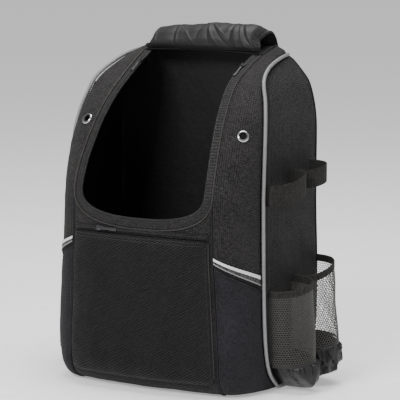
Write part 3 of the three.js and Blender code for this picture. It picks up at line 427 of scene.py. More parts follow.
def cloth_material(name, colour, rough, weave, pitch, depth=0.35, sheen=0.03, mottle=0.45, crease=0.0,
                   specular=0.18, cast=1.0):
    n = Nodes(name)
    u, v = n.split_uv()
    if weave == "square":
        h = n.math("MULTIPLY", n.wave(u, pitch), n.wave(v, pitch))
    elif weave == "grid":
        a = n.math("ABSOLUTE", n.wave(u, pitch * 2))
        b = n.math("ABSOLUTE", n.wave(v, pitch * 2))
        h = n.math("MULTIPLY_ADD", n.math("SQRT", n.math("MINIMUM", a, b)), 2.0, -1.2)
    elif weave == "twill":
        slanted = n.math("ADD", n.math("MULTIPLY", u, -0.50), n.math("MULTIPLY", v, SIN_60))
        h = n.wave(slanted, pitch)
    elif weave == "ribs_u":
        h = n.wave(u, pitch)
    elif weave == "ribs_v":
        h = n.math("ADD", n.wave(v, pitch), n.math("MULTIPLY", n.wave(u, pitch * 0.6), 0.35))
    elif weave == "cells":
        a = n.wave(u, pitch)
        b = n.wave(n.math("ADD", n.math("MULTIPLY", u, 0.5), n.math("MULTIPLY", v, SIN_60)), pitch)
        c = n.wave(n.math("ADD", n.math("MULTIPLY", u, -0.5), n.math("MULTIPLY", v, SIN_60)), pitch)
        h = n.math("MULTIPLY", n.math("ADD", n.math("ADD", a, b), c), 0.4)
    else:
        h = n.noise(1400.0, 2.0)
    grain = n.noise(300.0, 4.0)
    cloud = n.noise(24.0, 3.0)
    weave_tone = n.math("MULTIPLY", h, 0.5 * cast)
    tone = n.math("MULTIPLY_ADD", n.math("SUBTRACT", grain, 0.5), 4.0 * cast, weave_tone)
    tone = n.math("MULTIPLY_ADD", n.math("SUBTRACT", cloud, 0.5), 1.1, tone)
    fac = n.math("MULTIPLY_ADD", tone, 0.5, 0.5)
    n.link(n.ramp(fac, [(0.0, shade(colour, 1 - mottle * 1.6)), (1.0, shade(colour, 1 + mottle * 1.6))]),
           n.shader.inputs["Base Color"])
    rough_var = n.math("MULTIPLY_ADD", grain, 0.16, rough - 0.08)
    n.link(rough_var, n.shader.inputs["Roughness"])
    normal = n.bump(h, depth, pitch * 0.35)
    normal = n.bump(grain, 0.25, 0.3, normal)
    if crease:
        wrinkle = n.noise(70.0, 4.0, 0.6)
        normal = n.bump(wrinkle, crease, 4.0, normal)
    n.link(normal, n.shader.inputs["Normal"])
    n.shader.inputs["Specular IOR Level"].default_value = specular
    n.shader.inputs["Sheen Weight"].default_value = sheen
    n.shader.inputs["Sheen Roughness"].default_value = SHEEN_ROUGH
    return n.mat


def hard_material(name, colour, rough, metal, grain_depth=0.15):
    n = Nodes(name)
    grain = n.noise(900.0, 3.0)
    scuff = n.noise(60.0, 4.0)
    fac = n.math("MULTIPLY_ADD", n.math("SUBTRACT", scuff, 0.5), 0.9, 0.5)
    tint = n.ramp(fac, [(0.0, shade(colour, 0.75)), (1.0, shade(colour, 1.3))])
    n.link(tint, n.shader.inputs["Base Color"])
    n.link(n.math("MULTIPLY_ADD", scuff, 0.2, rough - 0.1), n.shader.inputs["Roughness"])
    n.link(n.bump(grain, grain_depth, 0.15), n.shader.inputs["Normal"])
    n.shader.inputs["Metallic"].default_value = metal
    return n.mat


UPPER = cloth_material("upper_weave", (0.0160, 0.0149, 0.0148), 0.80, "grid", 3.4, depth=0.7, mottle=0.62)
LOWER = cloth_material("lower_cloth", (0.0112, 0.0102, 0.0127), 0.80, "grid", 2.6, depth=0.35, mottle=0.45)
POCKET = cloth_material("pocket_ribbed", (0.0082, 0.0076, 0.0090), 0.66, "twill", 3.6, depth=1.6,
                        mottle=0.62, cast=1.6)
LINING = cloth_material("lining_nylon", (0.0115, 0.0110, 0.0118), 0.52, "square", 0.9, depth=0.10, sheen=0.0,
                        crease=0.05, specular=0.30, mottle=0.10, cast=0.3)
INSIDE = cloth_material("inside_lining", (0.0060, 0.0058, 0.0064), 0.60, "square", 1.0, depth=0.12,
                        sheen=0.0, crease=0.30, specular=0.25, mottle=0.15)
BOOT = cloth_material("boot_nylon", (0.0052, 0.0047, 0.0054), 0.36, "square", 0.9, depth=0.12, sheen=0.0,
                      crease=0.12, specular=0.38, mottle=0.15, cast=0.5)
NET = cloth_material("net_thread", (0.0560, 0.0540, 0.0490), 0.45, "noise", 0.5, depth=0.2,
                     specular=0.4, mottle=0.25)
ELASTIC = cloth_material("elastic_rib", (0.0200, 0.0188, 0.0176), 0.70, "ribs_v", 2.2, depth=0.9, mottle=0.5)
TAPE = cloth_material("zip_tape", (0.0145, 0.0138, 0.0138), 0.74, "twill", 2.4, depth=0.6, mottle=0.55)
# Welt cloth, lighter than the body cloth: a painted highlight along the lit ridge of each welt
LIT_WELT = cloth_material("welt_cloth_painted_highlight", (0.0300, 0.0280, 0.0265), 0.62, "twill", 1.8, depth=0.4, mottle=0.3)
PIPING = cloth_material("piping_reflective", (0.165, 0.165, 0.168), 0.42, "square", 0.8, depth=0.15,
                        sheen=0.0, specular=0.6, mottle=0.10)
TRIM = cloth_material("trim_reflective", (0.58, 0.58, 0.59), 0.40, "square", 0.7, depth=0.08, sheen=0.0,
                      specular=0.6, mottle=0.05)
TRIM_DARK = cloth_material("trim_ribbed", (0.060, 0.058, 0.056), 0.70, "ribs_u", 3.2, depth=0.9, mottle=0.6)
THREAD = cloth_material("thread", (0.040, 0.038, 0.038), 0.60, "noise", 0.4, depth=0.2, mottle=0.2)
PAD = cloth_material("air_mesh", (0.0130, 0.0130, 0.0148), 0.84, "cells", 3.0, depth=0.9)
STRAP_CLOTH = cloth_material("strap_cloth", (0.0160, 0.0155, 0.0160), 0.80, "grid", 2.0, depth=0.4)
WEBBING = cloth_material("webbing", (0.0115, 0.0112, 0.0123), 0.70, "ribs_v", 1.8, depth=0.9)
METAL = hard_material("gunmetal", (0.055, 0.055, 0.058), 0.34, 0.9)
EYELET = hard_material("eyelet_metal", (0.420, 0.420, 0.425), 0.20, 1.0, 0.05)
# Dark metal of the eyelet's barrel and inner lip: painted shade inside the hole
EYELET_SHADE = hard_material("eyelet_barrel_painted_shade", (0.020, 0.020, 0.021), 0.45, 0.6, 0.05)
PLASTIC = hard_material("buckle_plastic", (0.010, 0.010, 0.0115), 0.42, 0.0)
TEETH = hard_material("zip_coil", (0.020, 0.020, 0.022), 0.38, 0.0)


# Meshes
def make_object(name, points, faces, materials, face_slots=None, uvs=None, smooth_faces=True):
    mesh = bpy.data.meshes.new(name)
    pts = np.asarray(points, float).reshape(-1, 3) * MM
    mesh.from_pydata(pts.tolist(), [], [tuple(int(i) for i in f) for f in faces])
    for m in materials:
        mesh.materials.append(m)
    if face_slots is not None:
        mesh.polygons.foreach_set("material_index", np.asarray(face_slots, dtype=np.int32))
    mesh.polygons.foreach_set("use_smooth", np.full(len(mesh.polygons), smooth_faces))
    layer = mesh.uv_layers.new(name="UVMap")
    if uvs is not None:
        loops = np.empty(len(mesh.loops), dtype=np.int32)
        mesh.loops.foreach_get("vertex_index", loops)
        flat = (np.asarray(uvs, float).reshape(-1, 2) * MM)[loops]
        layer.data.foreach_set("uv", flat.astype(np.float32).ravel())
    mesh.validate()
    mesh.update()
    obj = bpy.data.objects.new(name, mesh)
    bpy.context.scene.collection.objects.link(obj)
    return obj


def grid_quads(rows, cols, base=0, closed=False, flip=False):
    r = np.arange(rows - 1)[:, None]
    c = np.arange(cols if closed else cols - 1)[None, :]
    d = (c + 1) % cols
    a = r * cols + c
    b = r * cols + d
    e = (r + 1) * cols + c
    f = (r + 1) * cols + d
    quads = np.stack([a, b, f, e], -1).reshape(-1, 4) + base
    return quads[:, ::-1] if flip else quads


def lengths_along(p, axis):
    step = np.linalg.norm(np.diff(p, axis=axis), axis=-1)
    zero_shape = list(step.shape)
    zero_shape[axis] = 1
    return np.concatenate([np.zeros(zero_shape), np.cumsum(step, axis=axis)], axis=axis)


def grid_uv(p):
    across = lengths_along(p, 1)
    across = across - across[:, across.shape[1] // 2][:, None]
    along = lengths_along(p, 0)
    along = np.repeat(along.mean(axis=1)[:, None], p.shape[1], axis=1) * 0.5 + along * 0.5
    return np.stack([across, along], -1)


# A closed cloth sheet between two grids; the first grid is the outer face. cut marks cells that are a hole
def sheet_object(name, outer, inner, materials, closed=False, flip=False, cut=None):
    rows, cols = outer.shape[:2]
    base = rows * cols
    out_q = grid_quads(rows, cols, 0, closed, flip)
    in_q = grid_quads(rows, cols, base, closed, not flip)
    edges = []
    if cut is not None:
        out_q = out_q[~cut.ravel()]
        in_q = in_q[~cut.ravel()]
        r, c = np.nonzero(cut[1:] != cut[:-1])
        a = (r + 1) * cols + c
        edges.append(np.stack([a, a + 1, a + 1 + base, a + base], -1))
        r, c = np.nonzero(cut[:, 1:] != cut[:, :-1])
        a = r * cols + c + 1
        edges.append(np.stack([a, a + cols, a + cols + base, a + base], -1))
    span = np.arange(cols if closed else cols - 1)
    nxt = (span + 1) % cols
    edges.append(np.stack([span, span + base, nxt + base, nxt], -1))
    top = (rows - 1) * cols
    edges.append(np.stack([top + span, top + nxt, top + base + nxt, top + base + span], -1))
    if not closed:
        r = np.arange(rows - 1) * cols
        z = cols - 1
        edges.append(np.stack([r, r + cols, r + cols + base, r + base], -1))
        edges.append(np.stack([r + z, r + z + base, r + z + cols + base, r + z + cols], -1))
    rim = np.concatenate(edges)
    slots = np.concatenate([np.zeros(len(out_q)), np.full(len(in_q), min(1, len(materials) - 1)),
                            np.zeros(len(rim))]).astype(int)
    faces = np.concatenate([out_q, in_q, rim])
    points = np.concatenate([outer.reshape(-1, 3), inner.reshape(-1, 3)])
    uv = grid_uv(outer).reshape(-1, 2)
    obj = make_object(name, points, faces, materials, slots, np.concatenate([uv, uv]))
    fix_normals(obj)
    return obj


# Sweep a closed section along a path; sections is (stations, k, 3)
def sweep_object(name, sections, materials, closed_path=False):
    n, k = sections.shape[:2]
    faces = [tuple(q) for q in grid_quads(n, k, 0, closed=True)]
    if closed_path:
        a = np.arange(k)
        b = (a + 1) % k
        last = (n - 1) * k
        faces += [tuple(q) for q in np.stack([last + a, last + b, b, a], -1)]
    else:
        faces.append(tuple(range(k))[::-1])
        faces.append(tuple((n - 1) * k + i for i in range(k)))
    around = lengths_along(sections, 1)
    along = lengths_along(sections, 0).mean(axis=1, keepdims=True) * np.ones((1, k))
    uv = np.stack([around, along], -1)
    obj = make_object(name, sections.reshape(-1, 3), faces, materials, None, uv.reshape(-1, 2))
    fix_normals(obj)
    return obj


def fix_normals(obj):
    bm = bmesh.new()
    bm.from_mesh(obj.data)
    bmesh.ops.recalc_face_normals(bm, faces=bm.faces[:])
    bm.to_mesh(obj.data)
    bm.free()


def path_frames(points, up):
    up = np.broadcast_to(up, points.shape)
    t = unit(np.gradient(points, axis=0))
    n = up - (up * t).sum(-1, keepdims=True) * t
    n = unit(n)
    return t, n, np.cross(t, n)


def tube(name, points, up, radius, material, sides=14):
    _, n, b = path_frames(points, up)
    w = np.linspace(0, TAU, sides, endpoint=False)
    ring = n[:, None] * np.cos(w)[None, :, None] + b[:, None] * np.sin(w)[None, :, None]
    return sweep_object(name, points[:, None] + ring * radius, [material])


# Corners of a rounded rectangle as (across, out) pairs
def rounded_corners(half, low, high, r, steps):
    pts = []
    for cx, cy, start in ((half, high, 0), (-half, high, 90), (-half, low, 180), (half, low, 270)):
        for i in range(steps + 1):
            a = math.radians(start + 90 * i / steps)
            pts.append((cx + r * math.cos(a), cy + r * math.sin(a)))
    return pts


# Section of a flat band: its long sides get extra points
def band_section(half, thick, corner):
    r = min(corner * thick, half * 0.9)
    pts = rounded_corners(half - r, r, thick - r, r, 3)
    dense = []
    for i, p in enumerate(pts):
        q = pts[(i + 1) % len(pts)]
        dense.append(p)
        if abs(q[0] - p[0]) > half:
            for k in range(1, 6):
                dense.append((mix(p[0], q[0], k / 6), mix(p[1], q[1], k / 6)))
    return np.array(dense)


def swept_band(name, points, across, out, half, thick, materials, corner):
    across = np.broadcast_to(across, points.shape)
    out = np.broadcast_to(out, points.shape)
    section = band_section(half, thick, corner)
    sideways = across[:, None] * section[None, :, 0, None]
    outward = out[:, None] * section[None, :, 1, None]
    return sweep_object(name, points[:, None] + sideways + outward, materials)


def way_along(points):
    return np.concatenate([[0], np.cumsum(np.linalg.norm(np.diff(points, axis=0), axis=-1))])


def carried(at, d, rows):
    return np.stack([np.interp(at, d, rows[:, k]) for k in range(3)], -1)


def resample(points, pitch, start=0.0):
    d = way_along(points)
    n = max(int((d[-1] - start) / pitch), 1)
    at = start + np.arange(n) * pitch
    return carried(at, d, points), at, d


# Many small copies of one solid along a path: template is (verts (k,3) along, across, out), faces
def scatter(name, template, faces, centres, along, across, out, material):
    k = len(template)
    pts = (centres[:, None] + along[:, None] * template[None, :, 0, None]
           + across[:, None] * template[None, :, 1, None] + out[:, None] * template[None, :, 2, None])
    all_faces = [tuple(i * k + j for j in f) for i in range(len(centres)) for f in faces]
    obj = make_object(name, pts.reshape(-1, 3), all_faces, [material], None, np.zeros((len(centres) * k, 2)))
    fix_normals(obj)
    return obj


STITCH_LONG = 2.5
STITCH_PITCH = 3.5
STITCH_WIDE = 0.42
STITCH_SHAPE = np.array([
    [-0.5, 0, -0.1], [-0.3, 1, 0.5], [-0.3, -1, 0.5], [-0.3, 0, -0.6],
    [0.3, 1, 0.5], [0.3, -1, 0.5], [0.3, 0, -0.6], [0.5, 0, -0.1], [0.0, 0, 1.0],
]) * np.array([STITCH_LONG, STITCH_WIDE, STITCH_WIDE])
STITCH_FACES = [(0, 1, 2), (0, 3, 1), (0, 2, 3), (1, 3, 6, 4), (2, 5, 6, 3), (7, 4, 6), (7, 6, 5), (7, 5, 4),
                (1, 8, 2), (4, 5, 8), (1, 4, 8), (2, 8, 5)]
stitch_rows = []


def stitch(points, out):
    points = np.asarray(points, float)
    out = np.broadcast_to(out, points.shape)
    centres, at, d = resample(points, STITCH_PITCH, STITCH_PITCH / 2)
    normal = unit(carried(at, d, out))
    along = unit(np.gradient(centres, axis=0)) if len(centres) > 1 else ACROSS[None]
    across = unit(np.cross(normal, along))
    stitch_rows.append((centres, along, across, unit(np.cross(along, across))))


# Zip coil teeth along a line
TOOTH_PITCH = 1.9
TOOTH_SHAPE = np.array([
    [-0.42, -1.6, 0.0], [0.42, -1.6, 0.0], [0.5, 0.4, 0.0],
    [0.42, 1.6, 0.0], [-0.42, 1.6, 0.0], [-0.5, 0.4, 0.0],
    [-0.28, -1.4, 0.9], [0.28, -1.4, 0.9], [0.34, 0.4, 1.15],
    [0.28, 1.3, 1.3], [-0.28, 1.3, 1.3], [-0.34, 0.4, 1.15],
])
TOOTH_FACES = [(5, 4, 3, 2, 1, 0), (6, 7, 8, 9, 10, 11)]
TOOTH_FACES += [(i, (i + 1) % 6, (i + 1) % 6 + 6, i + 6) for i in range(6)]


def zip_coil(name, points, out, toward):
    toward = np.broadcast_to(toward, points.shape)
    centres, at, d = resample(points, TOOTH_PITCH, TOOTH_PITCH / 2)
    normal = unit(carried(at, d, out))
    side = unit(carried(at, d, toward))
    along = unit(np.gradient(centres, axis=0))
    return scatter(name, TOOTH_SHAPE, TOOTH_FACES, centres, along, side, normal, TEETH)


def place(obj, slot, *nodes):
    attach(obj, "root")
    if nodes:
        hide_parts(*nodes)
    return obj


FINE = noise_set(31, 14, 46.0, 16.0)
BROAD = noise_set(32, 8, 120.0, 60.0)
SEAM_DIP = 2.1
SEAM_SOFT = 3.4


# Depth by which a sewn cloth sinks toward its seams
def edge_dip(p):
    u = lengths_along(p, 1)
    v = lengths_along(p, 0)
    near = np.minimum(np.minimum(u, u[:, -1:] - u), np.minimum(v, v[-1:] - v))
    return SEAM_DIP * np.exp(-near / SEAM_SOFT)


# One cloth of the body between two level functions; hole is the middle of an eyelet's cut
def body_sheet(name, us, low, high, rows, materials, slot, node, hole=None):
    us = np.asarray(us, float)
    t = np.linspace(0, 1, rows)[:, None]
    level = mix(low(us)[None, :], high(us)[None, :], t)
    u = np.repeat(us[None, :], rows, axis=0)
    flat = body_point(u, level)
    n = body_normal(u, level)
    out = skin(flat) - edge_dip(flat)
    outer = warp(flat + n * out[..., None])
    inner = warp(flat + n * (out - WALL)[..., None])
    cut = None
    if hole is not None:
        middle = (flat[1:, 1:] + flat[:-1, :-1]) / 2
        cut = np.linalg.norm(middle - hole, axis=-1) < EYELET_CUT_R
    obj = sheet_object(name, outer, inner, materials, flip=us[-1] < us[0], cut=cut)
    place(obj, slot, node)


def constant(value):
    return lambda u: np.full(np.shape(u), float(value))


def seam_level(side, u, shift=0.0):
    front, piping = GUSSET_SEAM[side]
    s = np.abs(u)
    return level_at(s, mix(front, piping, s - 1) + shift)


# Shared unevenness of the body's cloth; whatever lies on it follows it
def skin(p):
    return 0.18 * noise(p, FINE) + 0.35 * noise(p, BROAD)


def on_body(u, level, out):
    flat = body_point(u, level)
    n = body_normal(u, level)
    return warp(flat + n * (np.asarray(out, float) + skin(flat))[..., None]), n


# Front panel under the opening
front_u = to_edges(71) * 0.997


def front_high(u):
    return level_at(np.abs(u) * 0.999, opening_z(u))


body_sheet("front_panel_cloth", front_u, constant(0), front_high, 60, [UPPER, INSIDE],
           "upper_fabric", "front_panel")

# Gussets in two cloths, with a hole for each eyelet, and the side panels
for side in (-1, 1):
    word = side_name(side)
    us = np.linspace(1.0035, 1.9965, 48) * side
    body_sheet(f"gusset_lower_{word}_cloth", us, constant(0), lambda u, s=side: seam_level(s, u, -0.2), 56,
               [LOWER, INSIDE], "lower_fabric", f"gusset_lower_{word}")
    tall, share = EYELETS[side]
    eye_u = side * (1 + share)
    eye_level = level_at(abs(eye_u), tall)
    body_sheet(f"gusset_upper_{word}_cloth", us, lambda u, s=side: seam_level(s, u, 0.2), constant(LAST),
               120, [UPPER, INSIDE], "upper_fabric", f"gusset_upper_{word}",
               hole=body_point(eye_u, eye_level))
    us = np.linspace(2.008, 2.982, 50) * side
    body_sheet(f"side_panel_{word}_cloth", us, constant(0), constant(LAST), 120, [UPPER, INSIDE],
               "upper_fabric", f"side_panel_{word}")
    # Eyelet: a rolled ring with its barrel through the cloth; the barrel and the ring's inner lip take dark
    # metal as painted shade in the hole
    profile = np.array([
        [4.4, -2.9], [4.4, -1.2], [4.4, 0.4], [4.5, 1.0], [4.8, 1.6], [5.4, 2.05], [6.2, 2.25], [7.1, 2.15],
        [7.9, 1.75], [8.6, 1.15], [8.95, 0.7], [9.0, 0.4], [8.8, 0.25], [7.5, 0.3], [6.0, 0.3], [5.7, 0.1],
        [5.6, -1.2], [5.6, -2.9], [5.3, -3.05], [4.7, -3.05],
    ])
    centre, n = on_body(eye_u, eye_level, 0.15)
    lean = unit(np.cross(n, UPWARD))
    rise = np.cross(n, lean)
    turn = np.linspace(0, TAU, 40, endpoint=False)
    ring = lean * np.cos(turn)[:, None] + rise * np.sin(turn)[:, None]
    sections = centre + ring[:, None] * profile[None, :, 0, None] + n * profile[None, :, 1, None]
    eye = sweep_object(f"eyelet_{word}_ring", sections, [EYELET, EYELET_SHADE], closed_path=True)
    # Faces nearer the middle than the barrel's radius get the dark metal: painted shade in the hole
    middles = np.array([f.center for f in eye.data.polygons]) / MM
    radial = np.linalg.norm(np.cross(middles - centre, n), axis=-1)
    eye.data.polygons.foreach_set("material_index", (radial < EYELET_BARREL_R).astype(np.int32))
    place(eye, "dark_metal", f"eyelet_{word}")

# Seams of the body: a row of stitches beside each
for side in (-1, 1):
    levels = np.linspace(0.4, LAST - 0.4, 260)
    low_front = levels[levels < float(level_at(1.0, GUSSET_SEAM[side][0])) - 0.1]
    upper = levels[20:]
    for u, ls in ((0.965, low_front), (1.045, levels), (1.95, levels), (2.06, upper), (2.94, upper)):
        p, n = on_body(side * u, ls, 0.05)
        stitch(p, n)
    us = np.linspace(1.04, 1.96, 60)
    p, n = on_body(side * us, seam_level(side, us, -4.0), 0.05)
    stitch(p, n)

# Thin fold of cloth that covers the front seam under the opening and the slanting seams
for side in (-1, 1):
    word = side_name(side)
    ls = np.linspace(0.15, float(level_at(1.0, U_TOP_Z)), 150)
    p, n = on_body(side * 1.0, ls, -0.2)
    place(tube(f"front_seam_welt_{word}", p, n, 1.25, LOWER, 10), "lower_fabric")
    us = np.linspace(1.02, 1.985, 60)
    p, n = on_body(side * us, seam_level(side, us, 0.0), -0.1)
    place(tube(f"gusset_seam_welt_{word}", p, n, 0.95, LOWER, 8), "lower_fabric")

# Back panel
rows = 96
levels = np.linspace(0, LAST, rows)
corner = row_at(BODY_MM, levels)[:, 6:9]
below = row_at(BODY_MM, np.maximum(levels - 0.5, 0))[:, 6:9]
rise = np.maximum(corner[:, 2] - below[:, 2], 0.1)
lean = np.where(levels < 2.5, np.arctan2(corner[:, 1] - below[:, 1], rise), 0)
lean[0] = 1.2
across = np.linspace(-1, 1, 90)
outer = np.stack([across[None] * (corner[:, 0:1] - 0.4), corner[:, 1:2] + 0 * across[None],
                  corner[:, 2:3] + 0 * across[None]], -1)
inner = outer + np.stack([0 * lean, -WALL * np.cos(lean), WALL * np.sin(lean)], -1)[:, None]
tops = []
for rows_now, drop in ((outer, 0.0), (inner, WALL)):
    last = rows_now[-1]
    flat = np.zeros(len(last))
    end = np.stack([last[:, 0] * 0.82, flat + HALF_DEPTH - drop, flat + 0.996 * HEIGHT], -1)
    tops.append(np.stack([mix(last, end, t) for t in (0.25, 0.5, 0.75, 1.0)]))
outer = np.concatenate([outer, tops[0]])
inner = np.concatenate([inner, tops[1]])
ease = (0.18 * noise(outer, BROAD) - 0.35)[..., None] * BACKWARD
obj = sheet_object("back_panel_cloth", warp(outer + ease), warp(inner + ease), [LOWER, INSIDE])
place(obj, "lower_fabric", "back_panel")
for column in (3, -4):
    stitch(warp(outer[6:-6, column] + 0.05 * BACKWARD), BACKWARD)

# Base: a stiffened plate inside the foot of the walls
half = np.concatenate([np.linspace(0, 0.9, 16), np.linspace(1, 2, 18), np.linspace(2.15, 2.95, 10)])
line = []
for side, us in ((1, half), (-1, half[::-1])):
    p = off_body(side * us, np.zeros(len(us)), -WALL)[:, :2]
    line.append(p * (1 - 0.6 / np.linalg.norm(p, axis=-1, keepdims=True)))
line = np.concatenate([line[0], line[1][:-1]])
scale = np.array([1.0, 0.985, 0.95, 0.85, 0.7, 0.5, 0.3, 0.12])
rings = line[None] * scale[:, None, None]
lift = np.array([1.2, 0.3, 0.0, 0.0, 0.0, 0.0, 0.0, 0.0])
low = np.concatenate([rings, np.repeat(lift[:, None, None], len(line), 1)], -1)
high = np.concatenate([rings, np.full((len(scale), len(line), 1), 2.4)], -1)
high[0, :, 2] = 1.6
obj = sheet_object("base_panel_cloth", low, high, [LOWER, INSIDE], closed=True)
place(obj, "lower_fabric", "base_panel")

# Strip between the flap's hinge and the back panel, made in the darker lower cloth as painted shade on its
# lit top face
s = np.linspace(-1, 1, 60)[None, :]
level = np.linspace(HINGE_LEVEL + 0.02, LAST - 0.13, 16)[:, None] + 0 * s
rim = row_at(BODY_MM, level)[..., 0:3]
top = np.stack([s * (rim[..., 0] - 0.35), rim[..., 1], rim[..., 2] + 3 * (1 - s * s)], -1)
obj = sheet_object("top_strip_cloth", warp(top), warp(top - WALL * UPWARD), [LOWER, INSIDE])
place(obj, "upper_fabric", "top_strip")


# Band round the opening: places, outward and inward directions, from the right hinge round to the left one
def band_line():
    p, n, wide = [], [], []
    level_u = float(level_at(1.0, U_TOP_Z))
    for i in range(90):
        level = mix(HINGE_LEVEL - 0.15, level_u, i / 90)
        c = row_at(BODY_MM, level)[0:3]
        q = unit(row_at(BODY_MM, level + 0.05)[0:3] - row_at(BODY_MM, level - 0.05)[0:3])
        p.append(c)
        n.append(unit(np.array([0.0, -q[2], q[1]])))
        wide.append(BAND_SIDE)
    for i in range(121):
        a = i / 120 * math.pi
        s = math.copysign(abs(math.cos(a)) ** (2 / U_POWER), math.cos(a))
        z = U_TOP_Z - (U_TOP_Z - U_BOTTOM_Z) * max(math.sin(a), 0) ** (2 / U_POWER)
        level = float(level_at(min(abs(s), 0.999), z))
        p.append(body_point(s, level))
        n.append(body_normal(s * 0.97, level))
        wide.append(mix(BAND_SIDE, BAND_BOTTOM, math.sin(a)))
    p = np.array(p)
    n = np.array(n)
    wide = np.array(wide)
    mirror = np.array([-1.0, 1, 1])
    p = np.concatenate([p, p[:90][::-1] * mirror])
    n = np.concatenate([n, n[:90][::-1] * mirror])
    wide = np.concatenate([wide, wide[:90][::-1]])
    d = way_along(p)
    even = np.linspace(0, d[-1], 420)
    p = carried(even, d, p)
    n = carried(even, d, n)
    wide = np.interp(even, d, wide)
    n = unit(soften(n, 9))
    t = unit(np.gradient(soften(p, 3), axis=0))
    inward = np.cross(n, t)
    middle = p.mean(axis=0)
    inward *= np.sign(((middle - p) * inward).sum(-1, keepdims=True))
    return p, unit(n), unit(soften(unit(inward), 7)), wide


# Running mean along a line, twice
def soften(v, reach):
    out = v.copy()
    for _ in range(2):
        padded = np.concatenate([np.repeat(out[:1], reach, 0), out, np.repeat(out[-1:], reach, 0)])
        kernel = np.ones(2 * reach + 1) / (2 * reach + 1)
        out = np.stack([np.convolve(padded[:, k], kernel, "valid") for k in range(v.shape[1])], -1)
    return out


band_p, band_n, band_in, band_wide = band_line()
band_skin = skin(band_p)[:, None] * band_n


def band_place(across_mm, out):
    return warp(band_p + band_in * np.asarray(across_mm, float)[..., None] + band_n * out + band_skin)


# Profile of the tape across its width; columns: share of the width, height
tape_share = np.array([0.0, 0.06, 0.14, 0.22, 0.30, 0.50, 0.72, 0.84, 0.90, 0.96, 1.0])
tape_high = np.array([-0.9, -0.35, -0.1, -0.45, 0.0, 0.25, 0.15, -0.1, -0.5, -0.6, -0.9])
top = np.stack([band_place(0.7 + (band_wide - 0.7) * a, h) for a, h in zip(tape_share, tape_high)], 0)
low = np.stack([band_place(0.7 + (band_wide - 0.7) * a, -1.9) for a in tape_share], 0)
obj = sheet_object("opening_band_tape", top, low, [TAPE, INSIDE])
place(obj, "zip_tape", "opening_band")
# The welt round the opening is in the lighter welt cloth, a painted highlight on its ridge
place(tube("opening_welt", band_place(np.full(len(band_p), -0.6), 0.15), band_n, 1.45, LIT_WELT, 10), "zip_tape")
place(tube("opening_inner_edge", band_place(band_wide - 0.4, -0.55), band_n, 0.75, LOWER, 8), "zip_tape")
coil = zip_coil("opening_zip_coil", band_place(band_wide - 1.7, -0.35), band_n, band_in)
place(coil, "zip_tape")
stitch(band_place(np.full(len(band_p), 3.4), 0.0), band_n)
stitch(band_place(np.full(len(band_p), -3.6), 0.1), band_n)
stitch(band_place(band_wide - 4.6, 0.3), band_n)

# Piping round each side panel
for side in (-1, 1):
    word = side_name(side)
    foot_z = PIPING_R + 0.4
    foot = [np.array([float(side_x(side, y, foot_z + 3)) + side * (PIPING_R + SKIN_GAP), y, foot_z])
            for y in (96.0, 62.0, 28.0)]
    levels = np.linspace(0.7, LAST - 0.15, 33)
    n = unit(body_normal(side * 1.97, levels) + body_normal(side * 2.06, levels))
    line = np.concatenate([foot, body_point(side * 2.0, levels) + n * (PIPING_R + SKIN_GAP + 0.3)])
    sunk = np.maximum(foot_z - line[:, 2], 0)
    line[:, 2] += sunk
    line[:, 0] += side * 0.8 * sunk
    dense = row_at(line, np.linspace(0, len(line) - 1, 420))
    up_rows = np.concatenate([np.repeat([[side * 1.0, 0, 0]], 3, 0), n])
    up_line = row_at(up_rows, np.linspace(0, len(line) - 1, 420))
    cord_obj = tube(f"piping_{word}_cord", warp(dense), unit(up_line), PIPING_R, PIPING, 16)
    place(cord_obj, "reflective_piping", f"piping_{word}")

# Strip of doubled cloth behind each piping, which the sleeves and loops are sewn into
for side in (-1, 1):
    word = side_name(side)
    us = np.linspace(2.014, 2.012 + FACING_SHARE, 12)
    edge = 1 - np.abs(np.linspace(-1, 1, 12)) ** 8
    level, place_u = np.meshgrid(np.linspace(1.2, LAST - 3.4, 220), side * us, indexing="ij")
    p, _ = on_body(place_u, level, 0.25 + 0.75 * edge + 0 * level)
    q, _ = on_body(place_u, level, 0.15 + 0 * level)
    obj = sheet_object(f"side_facing_{word}_cloth", p, q, [LOWER])
    place(obj, "lower_fabric")
    p, n = on_body(side * (2.0 + FACING_SHARE), level[:, 0], 1.0)
    stitch(p, n)

# Cross of stitches that holds the corner of the base
for side in (-1, 1):
    level = float(level_at(1.13, 24.0))
    for turn in (-1, 1):
        k = np.linspace(-1, 1, 8)
        p, n = on_body(side * (1.13 + 0.045 * k), level + turn * 0.24 * k, 0.05 + 0 * k)
        stitch(p, n)

# Plain reflective trim above each slanting seam: a ribbed strip with a pale edge and a grey one
for side in (-1, 1):
    word = side_name(side)
    us = np.linspace(1.03, 1.93, 80)
    share = (us - 1.03) / 0.9
    upper = mix(9.0, 15.0, share)

    def trim(name, low, high, thick, material, rows, slot, *nodes):
        t = np.linspace(0, 1, rows)[:, None]
        z = 2.5 + mix(low[None], high[None], t)
        level = seam_level(side, np.repeat(us[None], rows, 0), z)
        edge = 1 - np.abs(2 * t - 1) ** 6
        p, _ = on_body(side * us[None] + 0 * t, level, 1.1 + thick * (0.55 + 0.45 * edge) + 0 * level)
        q, _ = on_body(side * us[None] + 0 * t, level, 0.7 + 0 * level)
        return place(sheet_object(name, p, q, [material]), slot, *nodes), p

    obj, p = trim(f"trim_{word}_field", 0 * share, upper, 0.5, TRIM_DARK, 12, "reflective_trim",
                  f"accent_{word}")
    trim(f"trim_{word}_pale", upper - mix(4.0, 5.5, share), upper, 1.1, TRIM, 6, "reflective_trim")
    trim(f"trim_{word}_grey", 0 * share, 0 * share + 2.2, 1.0, PIPING, 6, "reflective_piping")

# Front pocket
POCKET_FOLDS = noise_set(51, 9, 95.0, 38.0)


